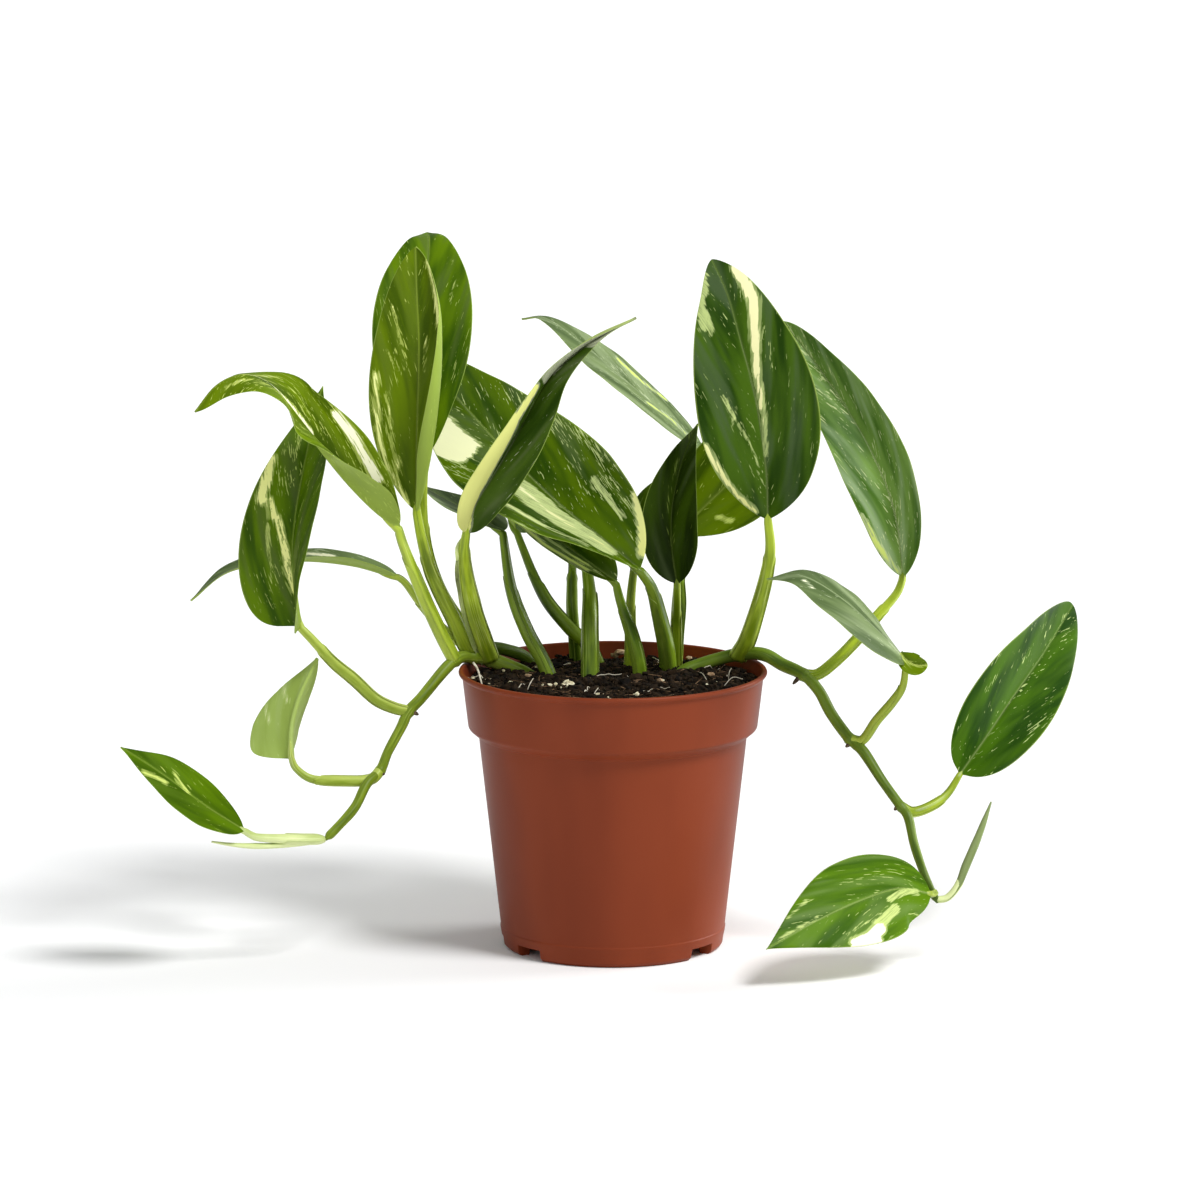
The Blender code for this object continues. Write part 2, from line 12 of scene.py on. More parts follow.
import bpy
import numpy as np
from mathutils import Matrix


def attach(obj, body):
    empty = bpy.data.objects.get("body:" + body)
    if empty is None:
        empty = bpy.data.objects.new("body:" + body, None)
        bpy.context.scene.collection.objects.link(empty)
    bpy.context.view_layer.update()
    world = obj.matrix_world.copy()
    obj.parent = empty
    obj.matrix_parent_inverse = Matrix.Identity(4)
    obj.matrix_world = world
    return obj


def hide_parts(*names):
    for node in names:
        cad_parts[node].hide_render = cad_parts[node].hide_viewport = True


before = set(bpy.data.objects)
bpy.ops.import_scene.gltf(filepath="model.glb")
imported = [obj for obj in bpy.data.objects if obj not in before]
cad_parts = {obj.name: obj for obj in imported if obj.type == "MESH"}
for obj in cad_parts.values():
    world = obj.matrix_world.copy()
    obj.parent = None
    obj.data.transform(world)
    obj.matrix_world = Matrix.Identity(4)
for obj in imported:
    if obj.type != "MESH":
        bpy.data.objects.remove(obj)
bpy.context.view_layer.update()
MM = 0.001
print("solid pieces:", len(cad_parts))

# %% [markdown]
# ## Curves and grids
# Almost everything on a plant is either a tube carried along a curve or a sheet laid over a curve.
# Both are grids of points, so a handful of small tools serve the whole scene: a smooth curve through
# given points, the faces of a grid, and a function that turns points and faces into a mesh with its
# texture coordinates. Working out whole arrays at once keeps the shapes exact and the script quick.


# %% Curves
def unit(vectors):
    """Each vector divided by its length."""
    return vectors / np.linalg.norm(vectors, axis=-1, keepdims=True)


def through(points, count):
    """Evenly spaced points on the smooth (Catmull-Rom) curve that passes through the given ones."""
    knots = np.array(points, dtype=float)
    ends = np.vstack([2 * knots[0] - knots[1], knots, 2 * knots[-1] - knots[-2]])
    t = np.linspace(0.0, 1.0, 24, endpoint=False)[:, None]
    pieces = []
    for a, b, c, d in zip(ends[:-3], ends[1:-2], ends[2:-1], ends[3:]):
        pieces.append(0.5 * (2 * b + (c - a) * t + (2 * a - 5 * b + 4 * c - d) * t ** 2
                             + (3 * b - a - 3 * c + d) * t ** 3))
    dense = np.vstack(pieces + [knots[-1:]])
    reach = travelled(dense)
    return at(np.linspace(0.0, reach[-1], count), reach, dense)


def at(where, known, values):
    """Each column of `values`, known at `known`, read off at `where`."""
    values = np.asarray(values, dtype=float)
    if values.ndim == 1:
        return np.interp(where, known, values)
    return np.stack([np.interp(where, known, column) for column in values.T], axis=-1)


def spread(values, count):
    """The values laid out evenly over `count` stations, with straight lines between them."""
    return at(np.linspace(0, 1, count), np.linspace(0, 1, len(values)), values)


def length_of(points):
    """The sum of the straight steps between neighbouring points."""
    return float(np.linalg.norm(np.diff(points, axis=0), axis=1).sum())


def travelled(points):
    """The way from the first point to each one, along the line through them."""
    return np.concatenate([[0.0], np.cumsum(np.linalg.norm(np.diff(points, axis=0), axis=1))])


def ease(x, low, high):
    """0 below low, 1 above high, and a smooth step between them."""
    t = np.clip((x - low) / (high - low), 0.0, 1.0)
    return t * t * (3 - 2 * t)


def wander(x, seed):
    """A smooth irregular curve of x between about -1 and 1: five sines of unlike lengths."""
    draw = np.random.default_rng(seed)
    total = 0.0
    for wave in range(5):
        stretch, start = draw.uniform(0.7, 1.3), draw.uniform(0, 2 * pi)
        total = total + np.sin(x * (1 + wave) * stretch + start) / (1 + wave)
    return total / 1.6


# %% Grids and meshes
def closed_tube(grid):
    """Points, quads and end fans of a grid that is closed around, with a point in the middle of each
    end. All faces are turned round if they would enclose a negative volume."""
    rows, columns = grid.shape[:2]
    points = np.vstack([grid.reshape(-1, 3), grid[0].mean(axis=0), grid[-1].mean(axis=0)])
    ring = np.arange(columns)
    after = (ring + 1) % columns
    low = np.arange(rows - 1)[:, None] * columns
    high = low + columns
    quads = np.stack([low + ring, low + after, high + after, high + ring], axis=-1).reshape(-1, 4)
    last, pole = (rows - 1) * columns, np.full(columns, rows * columns)
    fans = np.vstack([np.stack([ring, pole, after], axis=-1),
                      np.stack([last + after, pole + 1, last + ring], axis=-1)])
    a, b, c, d = (points[quads[:, k]] for k in range(4))
    if (a * (np.cross(b, c) + np.cross(c, d))).sum() < 0:
        quads, fans = quads[:, ::-1], fans[:, ::-1]
    return points, quads, fans


def several_tubes(grids):
    """Points and face sets of many closed grids, for one mesh."""
    points, faces, first = [], [], 0
    for grid in grids:
        part, quads, fans = closed_tube(grid)
        points.append(part)
        faces += [quads + first, fans + first]
        first += len(part)
    return np.vstack(points), faces


def make_mesh(name, points, faces, finishes, uv={}, marks={}, finish_of=None, smooth=True):
    """A mesh from points in millimetres and sets of faces. uv maps a layer's name to a value for each
    point, marks does the same for plain number attributes, and finish_of gives each face its
    finish's number."""
    mesh = bpy.data.meshes.new(name)
    mesh.from_pydata((points * MM).tolist(), [], [face for some in faces for face in some.tolist()])
    corners = np.empty(len(mesh.loops), dtype=np.int32)
    mesh.loops.foreach_get("vertex_index", corners)
    for layer, values in uv.items():
        flat = values[corners].ravel().astype(np.float32)
        mesh.uv_layers.new(name=layer).data.foreach_set("uv", flat)
    for layer, values in marks.items():
        attribute = mesh.attributes.new(layer, "FLOAT", "POINT")
        attribute.data.foreach_set("value", values.astype(np.float32))
    for finish in finishes:
        mesh.materials.append(finish)
    if finish_of is not None:
        mesh.polygons.foreach_set("material_index", finish_of.astype(np.int32))
    mesh.polygons.foreach_set("use_smooth", np.full(len(mesh.polygons), smooth))
    mesh.update()
    return mesh


def grid_mesh(name, grid, finishes, second=None, **layers):
    """The mesh of one closed grid; `second` says which quads get the second finish."""
    points, quads, fans = closed_tube(grid)
    if second is not None:
        second = np.append(second, np.zeros(len(fans), dtype=bool))
    return make_mesh(name, points, [quads, fans], finishes, finish_of=second, **layers)


def place(mesh, slot, *stands_for):
    """Puts a finished mesh in the scene, riding on the plant's one body. It takes the place of the
    named pieces of the solid model."""
    piece = bpy.data.objects.new(mesh.name, mesh)
    bpy.context.scene.collection.objects.link(piece)
    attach(piece, "root")
    if stands_for:
        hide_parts(*stands_for)
    return piece


print("tools ready")

# %% [markdown]
# ## Finishes
# A finish is a small network of nodes in front of one Principled shader. The helper below adds a node
# and plugs in its inputs in one line, so that each finish reads like a recipe: patterns first, then
# the colours that they mix, then the shader.


# %% A helper for node networks
class Recipe:
    """A material under construction: call it with a node's type, its settings and its inputs."""

    def __init__(self, name):
        self.finish = bpy.data.materials.new(name)
        self.finish.use_nodes = True
        self.tree = self.finish.node_tree
        self.shader = self.tree.nodes["Principled BSDF"]

    def __call__(self, kind, inputs=None, out=0, **settings):
        made = self.tree.nodes.new("ShaderNode" + kind)
        for key, value in settings.items():
            setattr(made, key, value)
        for key, value in (inputs or {}).items():
            self.plug(made.inputs[key], value)
        return made.outputs[out]

    def plug(self, socket, value):
        if isinstance(value, bpy.types.NodeSocket):
            self.tree.links.new(value, socket)
        elif isinstance(value, tuple) and len(value) == 3 and socket.type == "RGBA":
            socket.default_value = (*value, 1.0)
        else:
            socket.default_value = value

    def maths(self, operation, a, b=0.0):
        return self("Math", {0: a, 1: b}, operation=operation)

    def plus(self, a, b):
        return self.maths("ADD", a, b)

    def times(self, a, b):
        return self.maths("MULTIPLY", a, b)

    def swing(self, value, middle, strength):
        """How far a value lies from its middle, made stronger."""
        return self.times(self.maths("SUBTRACT", value, middle), strength)

    def step(self, value, low, high):
        """0 below low and 1 above high, smoothly."""
        return self("MapRange", {"Value": value, "From Min": low, "From Max": high},
                    interpolation_type="SMOOTHSTEP")

    def mix(self, amount, first, second):
        return self("Mix", {0: amount, 6: first, 7: second}, out=2, data_type="RGBA")

    def stain(self, colour, second, amount, strength):
        """The colour with another laid over it, at most as strongly as `strength`."""
        return self.mix(self.times(amount, strength), colour, second)

    def noise(self, vector, scale, detail=2.0, roughness=0.5):
        return self("TexNoise", {"Vector": vector, "Scale": scale, "Detail": detail,
                                 "Roughness": roughness})

    def stretched(self, vector, scale, detail, roughness=0.5, location=(0.0, 0.0, 0.0)):
        """Noise whose pattern is counted `scale` times in each direction of the vector."""
        moved = self("Mapping", {"Vector": vector, "Scale": scale, "Location": location})
        return self.noise(moved, 1.0, detail, roughness)

    def mark(self, name):
        return self("Attribute", attribute_name=name, attribute_type="GEOMETRY", out=2)

    def done(self, **shader):
        for key, value in shader.items():
            self.plug(self.shader.inputs[key.replace("_", " ")], value)
        return self.finish


print("recipe helper ready")

# %% [markdown]
# The pot is moulded polypropylene in a terracotta brown. Its colour is almost even: the moulding only
# leaves a slight mottle and a fine orange-peel bump, which is why a real one never looks like clay.


# %% The pot's plastic
def pot_plastic():
    """Two nearly equal browns mixed by a broad noise, with a very fine noise as bump."""
    make = Recipe("terracotta plastic")
    where = make("TexCoord", out=3)
    mottle = make.stretched(where, (26.0, 26.0, 9.0), 2.0)
    grain = make.noise(where, 1400.0, 2.0)
    colour = make.mix(make.step(mottle, 0.35, 0.65), (0.172, 0.029, 0.008), (0.214, 0.038, 0.011))
    bump = make("Bump", {"Height": grain, "Strength": 0.12, "Distance": 0.0002})
    return make.done(Base_Color=colour, Roughness=0.44, Normal=bump, Specular_IOR_Level=0.14)


POT_PLASTIC = pot_plastic()
print("finish:", POT_PLASTIC.name)

# %% [markdown]
# Potting soil is nearly black when it is moist, with brown fibres, white perlite and a few chips of
# bark. Crumbs and grains are real pieces further down, so their finishes only need a dull colour that
# varies from place to place.


# %% Soil, perlite, bark and root finishes
def dull(name, dark, light, scale, roughness=0.95):
    """Two colours mottled together by noise, with no gloss."""
    make = Recipe(name)
    where = make("TexCoord", out=3)
    spots = make.noise(where, scale, 4.0, 0.6)
    bump = make("Bump", {"Height": spots, "Strength": 0.4, "Distance": 0.0006})
    colour = make.mix(make.step(spots, 0.35, 0.68), dark, light)
    return make.done(Base_Color=colour, Roughness=roughness, Normal=bump, Specular_IOR_Level=0.12)


PEAT = dull("moist peat", (0.002, 0.0013, 0.0008), (0.026, 0.015, 0.007), 330.0)
PERLITE = dull("perlite", (0.46, 0.40, 0.24), (0.85, 0.80, 0.58), 700.0)
BARK = dull("bark chip", (0.22, 0.13, 0.07), (0.52, 0.38, 0.24), 500.0)
ROOT = dull("young root", (0.45, 0.40, 0.30), (0.75, 0.70, 0.58), 400.0, 0.7)
FIBRE = dull("peat fibre", (0.050, 0.027, 0.014), (0.26, 0.16, 0.09), 300.0)
print("finishes:", PEAT.name, PERLITE.name, BARK.name, ROOT.name, FIBRE.name)

# %% [markdown]
# A variegated blade is painted by its own growth: pale streaks run along the side veins, which leave
# the midrib at a narrow angle and bend towards the tip. So the pattern is worked out in vein
# coordinates, kept in the blade's texture layer `vein`: x counts centimetres across the veins and y
# along them. Number attributes on the blade say where cream (`patch`) and pale green (`sage`) belong,
# as a depth in millimetres that is positive inside, and noise stretched along the veins frays their
# edges. A faint grey sheen, broad as a thumb, breaks the green up: it is painted reflection, the glint
# of the bright room on the waxy leaf laid into the colour.


# %% Blade skins
# The fourth colour of each green is a painted sheen: painted reflection laid over the green in broad
# patches. It also colours the darker lines inside the pale-green streaks.
GREENS = {      # the darker and the lighter green, the pale green of streaks, and the sheen
    # night: the green of the leaf deep inside the plant, nearly black partly in its own colour and
    # partly as painted shade
    "night": ((0.010, 0.022, 0.001), (0.030, 0.062, 0.001), (0.16, 0.22, 0.04), (0.052, 0.074, 0.026)),
    "dark": ((0.013, 0.041, 0.001), (0.051, 0.112, 0.005), (0.48, 0.58, 0.21), (0.066, 0.108, 0.040)),
    "middle": ((0.024, 0.060, 0.001), (0.078, 0.140, 0.001), (0.56, 0.65, 0.27), (0.078, 0.120, 0.038)),
    "vivid": ((0.030, 0.076, 0.001), (0.100, 0.185, 0.001), (0.52, 0.62, 0.17), (0.084, 0.128, 0.026)),
    "dusk": ((0.016, 0.040, 0.002), (0.042, 0.082, 0.006), (0.38, 0.41, 0.27), (0.085, 0.110, 0.045)),
    "grass": ((0.034, 0.095, 0.001), (0.090, 0.195, 0.002), (0.56, 0.67, 0.22), (0.130, 0.220, 0.045)),
    "deep": ((0.012, 0.045, 0.001), (0.047, 0.122, 0.001), (0.54, 0.66, 0.24), (0.044, 0.106, 0.004)),
    "fresh": ((0.048, 0.090, 0.001), (0.125, 0.202, 0.001), (0.58, 0.68, 0.15), (0.112, 0.172, 0.012)),
    "lime": ((0.040, 0.090, 0.001), (0.092, 0.182, 0.001), (0.52, 0.64, 0.14), (0.086, 0.162, 0.008)),
    "jade": ((0.052, 0.124, 0.014), (0.165, 0.288, 0.055), (0.62, 0.70, 0.34), (0.320, 0.430, 0.230)),
    "grey": ((0.070, 0.110, 0.036), (0.150, 0.210, 0.080), (0.48, 0.55, 0.34), (0.260, 0.330, 0.165)),
    "sage": ((0.115, 0.185, 0.040), (0.230, 0.330, 0.105), (0.62, 0.70, 0.38), (0.290, 0.380, 0.190)),
}
SPLASHES = {
    "cream": (0.94, 0.93, 0.66), "ivory": (0.94, 0.91, 0.50), "butter": (0.94, 0.96, 0.36),
    "lemon": (0.90, 0.94, 0.36), "straw": (0.68, 0.70, 0.22), "lime": (0.56, 0.66, 0.16),
}
UNDERSIDE_GREEN = (0.40, 0.53, 0.10)
MARGIN_GREEN = (0.36, 0.48, 0.10)
SKINS = {}


def leaf_skin(name, greens, cream, under):
    """The finish of one side of a blade. The underside is paler, greener and less glossy."""
    deep, fresh, pale, painted_sheen_and_line_green = greens
    make = Recipe(name)
    vein = make("UVMap", uv_map="vein")
    drift = make.stretched(vein, (0.9, 0.30, 1.0), 2.0, location=(7.0, 3.0, 0.0))
    painted_sheen_spots = make.stretched(vein, (1.2, 0.22, 1.0), 2.0, location=(2.0, 8.0, 0.0))
    broad = make.stretched(vein, (3.6, 0.40, 1.0), 4.0, 0.6)
    fine = make.stretched(vein, (11.0, 1.1, 1.0), 3.0, 0.6)
    wisps = make.stretched(vein, (15.0, 1.3, 1.0), 2.0, 0.6, (9.0, 1.0, 0.0))
    dots = make.stretched(vein, (18.0, 3.4, 1.0), 1.0, location=(5.0, 9.0, 0.0))
    lines = make.stretched(vein, (30.0, 0.8, 1.0), 3.0, 0.7, (1.0, 4.0, 0.0))
    flock = make.stretched(vein, (1.7, 0.7, 1.0), 2.0, location=(11.0, 2.0, 0.0))
    fray = make.plus(make.swing(broad, 0.5, 5.0), make.swing(fine, 0.5, 5.0))
    ragged = make.times(fray, make.mark("ragged"))

    # the ground: two greens, and a painted sheen: grey patches of painted reflection
    colour = make.mix(make.step(drift, 0.36, 0.64), deep, fresh)
    colour = make.stain(colour, painted_sheen_and_line_green, make.step(painted_sheen_spots, 0.48, 0.68), 0.7)
    colour = make.stain(colour, fresh, make.step(broad, 0.50, 0.70), 0.35)
    # flecks: long ones and round ones, in loose flocks
    sown = make.plus(make.times(make.mark("fleck"), 0.14), make.swing(flock, 0.53, 0.35))
    colour = make.stain(colour, pale, make.step(make.plus(wisps, sown), 0.69, 0.73), 0.75)
    colour = make.stain(colour, pale, make.step(make.plus(dots, sown), 0.76, 0.80), 0.8)
    # pale green streaks, with fine darker lines in them
    threads = make.plus(make.mark("sage"), make.times(ragged, 1.3))
    striped = make.stain(pale, painted_sheen_and_line_green, make.step(lines, 0.50, 0.60), 0.6)
    colour = make.stain(colour, striped, make.step(threads, -0.3, 0.7), 0.9)
    # splashes, with a pale green seam around them
    splash = make.plus(make.mark("patch"), ragged)
    colour = make.stain(colour, pale, make.step(splash, -1.1, -0.5), 0.5)
    ripe = make.mix(make.mark("ripe"), cream, SPLASHES["straw"])
    colour = make.mix(make.step(splash, -0.1, 0.3), colour, ripe)
    # the midrib and the margin
    colour = make.stain(colour, pale, make.mark("rib"), 0.25)
    colour = make.stain(colour, MARGIN_GREEN, make.mark("edge"), 0.7)
    if under:
        colour = make.mix(0.6, colour, UNDERSIDE_GREEN)

    bump = make("Bump", {"Height": broad, "Strength": 0.15, "Distance": 0.0004})
    rough = make("MapRange", {"Value": broad, "To Min": 0.32, "To Max": 0.46})
    return make.done(Base_Color=colour, Roughness=0.55 if under else rough, Normal=bump,
                     Specular_IOR_Level=0.05)


def skin_of(tone, splash, under):
    """The skin of one side of a blade, made the first time it is asked for."""
    if (tone, splash, under) not in SKINS:
        title = f"{tone} leaf with {splash}, " + ("underside" if under else "upper side")
        SKINS[tone, splash, under] = leaf_skin(title, GREENS[tone], SPLASHES[splash], under)
    return SKINS[tone, splash, under]


print("finish:", skin_of("middle", "cream", False).name)

# %% [markdown]
# Leaf stalks are smooth and juicy green, and the variegation runs along them as pale stripes. Around
# a stalk the texture layer `bark` counts once up and once down again, so that no seam shows; along it
# the count is in centimetres.


# %% Stem and stalk finishes
def stalk_skin(name, deep, fresh, stripe, amount, roughness=0.30):
    """`amount` is where the stripes begin: the higher it is, the fewer they are."""
    make = Recipe(name)
    bark = make("UVMap", uv_map="bark")
    cells = make.stretched(bark, (2.2, 0.35, 1.0), 3.0, 0.6)
    lines = make.stretched(bark, (9.0, 0.22, 1.0), 3.0, 0.6, (3.0, 9.0, 0.0))
    # painted highlight: where the mark `side` is high, on the flanks, the colour is drawn towards the
    # lighter green and the stripe colour
    light = make.times(make.mark("side"), 0.5)
    blend = make.step(make.plus(cells, make.times(light, 0.25)), 0.36, 0.70)
    colour = make.stain(make.mix(blend, deep, fresh), stripe, light, 0.4)
    colour = make.stain(colour, stripe, make.step(lines, amount, amount + 0.10), 0.7)
    bump = make("Bump", {"Height": lines, "Strength": 0.15, "Distance": 0.0002})
    return make.done(Base_Color=colour, Roughness=roughness, Normal=bump, Specular_IOR_Level=0.20)


STALK_GREENS = {        # the darker green, the lighter green, the stripes, and where those begin
    "juicy": ((0.140, 0.210, 0.002), (0.390, 0.510, 0.028), (0.66, 0.74, 0.24), 0.59),
    # dark: the skin of the stalks inside the plant, darker partly in its own colour and partly as
    # painted shade from the leaves above them
    "dark": ((0.034, 0.072, 0.001), (0.150, 0.240, 0.005), (0.42, 0.54, 0.11), 0.60),
    "fresh": ((0.110, 0.170, 0.001), (0.310, 0.410, 0.018), (0.58, 0.66, 0.20), 0.59),
    "light": ((0.200, 0.285, 0.012), (0.390, 0.480, 0.070), (0.62, 0.70, 0.27), 0.58),
    "pale": ((0.420, 0.520, 0.160), (0.700, 0.780, 0.360), (0.80, 0.86, 0.52), 0.56),
    "spear": ((0.095, 0.135, 0.035), (0.200, 0.260, 0.090), (0.36, 0.44, 0.20), 0.60),
}
STALK_SKINS = {key: stalk_skin(key if key == "spear" else key + " stalk", *greens)
               for key, greens in STALK_GREENS.items()}
STEM_SKIN = stalk_skin("stem skin", (0.044, 0.086, 0.002), (0.130, 0.205, 0.012),
                       (0.24, 0.31, 0.07), 0.60, 0.42)
LEFT_STEM_SKIN = stalk_skin("paler stem skin", (0.075, 0.125, 0.002), (0.200, 0.280, 0.012),
                            (0.42, 0.50, 0.12), 0.58, 0.42)
SHEATH_SKIN = stalk_skin("sheath skin", (0.300, 0.400, 0.080), (0.480, 0.560, 0.200),
                         (0.70, 0.74, 0.40), 0.60, 0.45)
HUSK = dull("dry husk", (0.045, 0.030, 0.018), (0.14, 0.10, 0.06), 900.0, 0.8)
print("stalk finishes:", len(STALK_SKINS))

# %% [markdown]
# ## The pot
# A nursery pot is one thin moulding: a wide band under the rim so that pots can be lifted out of each
# other, a tapering wall, and a foot ring with notches that lets water run away. It is a profile turned
# about the vertical axis. Here the profile is followed around in a grid, and the lowest rings are
# lifted wherever a notch is, so the notches are part of the same surface.

# %% Pot profile
POT_HEIGHT, RIM_RADIUS, WALL, BAND_FOOT = 109.0, 60.0, 1.2, 84.5
FOOT_HEIGHT, FOOT_INNER_RADIUS = 4.6, 37.5
DRAIN_CIRCLE, DRAIN_RADIUS = 24, 4.0
NOTCHES, POT_TURN, NOTCH_HALF = (51.5, 90.0, 128.5, -51.5, -90.0, -128.5), 2.0, 8.7    # degrees


def rounded(corners, radius):
    """The polyline through the corners, each corner replaced by a small arc (a quadratic curve) with a
    close point before and after it, which keeps the flats between the arcs looking flat."""
    corners = np.array(corners, dtype=float)
    t = np.linspace(0.0, 1.0, 4)[:, None]
    line = [corners[:1]]
    for before, here, after in zip(corners[:-2], corners[1:-1], corners[2:]):
        near, far = (here + unit(end - here) * min(radius, 0.45 * np.linalg.norm(end - here))
                     for end in (before, after))
        arc = (1 - t) ** 2 * near + 2 * t * (1 - t) * here + t ** 2 * far
        line += [[near + 0.12 * (near - here)], arc, [far + 0.12 * (far - here)]]
    return np.vstack(line + [corners[-1:]])


def pot_profile():
    """(radius, height) from the inside of the floor up to the rim, down the outside and under."""
    inside = [(0.1, FOOT_HEIGHT + WALL), (43.4 - WALL, FOOT_HEIGHT + WALL), (51.7 - WALL, 79.0),
              (52.4 - WALL, BAND_FOOT), (56.1 - WALL, BAND_FOOT + 4.6), (57.8, 107.0), (58.0, 108.7)]
    lip = [(58.5, POT_HEIGHT), (59.6, POT_HEIGHT - 0.1), (RIM_RADIUS, 107.9), (59.4, 107.0),
           (58.5, 106.6)]
    band = [(57.4, 97.0), (56.2, BAND_FOOT + 2.5), (55.9, BAND_FOOT + 1.9), (53.0, BAND_FOOT - 0.6)]
    wall = [(52.1, BAND_FOOT - 1.0), (51.7, 79.0), (43.75, 8.2), (43.95, 7.9), (43.95, 7.4),
            (43.45, 4.6), (43.0, 1.4), (41.6, 0.0)]
    under = [(38.1, 0.0), (FOOT_INNER_RADIUS, FOOT_HEIGHT), (0.1, FOOT_HEIGHT)]
    return rounded(inside + lip + band + wall + under, 0.45)


def notch_angles(count):
    """Angles around the pot, with a close pair at each side of every notch."""
    sides = [radians(angle + POT_TURN) + side * radians(NOTCH_HALF) + nudge
             for angle in NOTCHES for side in (-1, 1) for nudge in (-0.004, 0.004)]
    return np.unique(np.concatenate([np.linspace(-pi, pi, count, endpoint=False), sides]))


def pot_surface():
    """Points at (r sin a, -r cos a, z), where z is at least the notch's height in a notch."""
    profile, angle = pot_profile(), notch_angles(216)
    middle = np.radians(np.array(NOTCHES) + POT_TURN)
    away = np.abs((angle[:, None] - middle[None] + pi) % (2 * pi) - pi).min(axis=1)
    floor = np.where(away < radians(NOTCH_HALF), FOOT_HEIGHT, 0.0)
    radius = np.broadcast_to(profile[:, :1], (len(profile), len(angle)))
    height = np.maximum(profile[:, 1:], floor[None])
    return np.stack([radius * np.sin(angle), -radius * np.cos(angle), height], axis=-1)


print("profile points:", len(pot_profile()))

# %% [markdown]
# The drain holes are punched through the finished shell. A boolean is the honest tool for a hole in a
# wall with a thickness; the cutter is thrown away when the result has been made a mesh of its own.


# %% Make the pot
def round_bars(places, radius, low, high, sides=32):
    """Upright cylinders, one mesh, as closed grids of two rings each."""
    turn = np.linspace(0, 2 * pi, sides, endpoint=False)
    ring = np.stack([radius * np.cos(turn), radius * np.sin(turn)], axis=-1)
    return several_tubes(np.stack([np.column_stack([ring + middle, np.full(sides, z)])
                                   for z in (low, high)]) for middle in places)


def make_pot():
    """The turned profile less nine upright bars: eight on a circle and one in the middle."""
    pot = place(grid_mesh("nursery_pot", pot_surface(), [POT_PLASTIC]), "pot", "pot")
    turns = [2 * pi * k / 8 for k in range(8)]
    drains = [(DRAIN_CIRCLE * cos(turn), DRAIN_CIRCLE * sin(turn)) for turn in turns] + [(0, 0)]
    bars, faces = round_bars(np.array(drains), DRAIN_RADIUS, FOOT_HEIGHT - 1, FOOT_HEIGHT + WALL + 1)
    bars = make_mesh("drain cutter", bars, faces, [POT_PLASTIC])
    cutter = bpy.data.objects.new("drain cutter", bars)
    bpy.context.scene.collection.objects.link(cutter)
    holes = pot.modifiers.new("drain holes", "BOOLEAN")
    holes.operation, holes.solver, holes.object = "DIFFERENCE", "EXACT", cutter
    bpy.context.view_layer.update()
    depsgraph = bpy.context.evaluated_depsgraph_get()
    pierced = bpy.data.meshes.new_from_object(pot.evaluated_get(depsgraph))
    pot.modifiers.clear()
    pot.data = pierced
    pierced.name = "nursery_pot"
    bpy.data.objects.remove(cutter, do_unlink=True)
    pierced.set_sharp_from_angle(angle=radians(38))
    return pot


pot = make_pot()
print("pot faces:", len(pot.data.polygons))

# %% [markdown]
# ## The soil
# The surface of potting soil is a low heap of crumbs. Its ground is a disc whose height is a sum of
# waves of several lengths; on it lie hundreds of loose crumbs, white perlite, some bark and a few
# young roots. Each crumb is a lump of twenty faces with jittered corners, laid down by one array
# operation for all of them together.

# %% Ground of the soil
SOIL_TOP, SOIL_EDGE = 104.5, 57.0
SOIL_SIDE = ((56.0, 97.0), (54.3, 89.2), (50.7, 84.5), (50.3, 79.0), (42.0, 6.4))   # radius, height


def ground(x, y):
    """Height of the soil at (x, y): heaped up in front, lower at the back, with bumps of two sizes."""
    bumps = (1.1 * wander(x / 9, 3) * wander(y / 8, 4)
             + 0.7 * wander((x + y) / 4, 5) * wander((x - y) / 3.5, 6))
    return SOIL_TOP + 0.7 - 0.033 * y - 1.0 * ease(np.hypot(x, y), 50, 57) + bumps


def make_soil():
    """A disc of rings and spokes: ring k lies at radius R sqrt(k / n), and the edge turns down."""
    rings, spokes = 70, 160
    radius = SOIL_EDGE * np.sqrt(np.linspace(0.0004, 1, rings))[:, None]
    turn = np.linspace(0, 2 * pi, spokes, endpoint=False)
    x, y = radius * np.cos(turn), radius * np.sin(turn)
    top = np.stack([x, y, ground(x, y)], axis=-1)
    side = [np.column_stack([r * np.cos(turn), r * np.sin(turn), np.full(spokes, z)])
            for r, z in SOIL_SIDE]
    return place(grid_mesh("soil_ground", np.concatenate([top, side]), [PEAT]), "soil", "soil")


soil = make_soil()
print("soil faces:", len(soil.data.polygons))

# %% Crumbs, perlite and bark
CRUMBS_REACH = 55.5         # how far from the middle the crumbs and fibres lie
GOLDEN = (1 + 5 ** 0.5) / 2
# the twelve corners of a lump
LUMP = unit(np.array([(-1, GOLDEN, 0), (1, GOLDEN, 0), (-1, -GOLDEN, 0), (1, -GOLDEN, 0),
                      (0, -1, GOLDEN), (0, 1, GOLDEN), (0, -1, -GOLDEN), (0, 1, -GOLDEN),
                      (GOLDEN, 0, -1), (GOLDEN, 0, 1), (-GOLDEN, 0, -1), (-GOLDEN, 0, 1)]))
# the twenty faces of that lump
LUMP_FACES = np.array([(0, 11, 5), (0, 5, 1), (0, 1, 7), (0, 7, 10), (0, 10, 11), (1, 5, 9), (5, 11, 4),
                       (11, 10, 2), (10, 7, 6), (7, 1, 8), (3, 9, 4), (3, 4, 2), (3, 2, 6), (3, 6, 8),
                       (3, 8, 9), (4, 9, 5), (2, 4, 11), (6, 2, 10), (8, 6, 7), (9, 8, 1)])


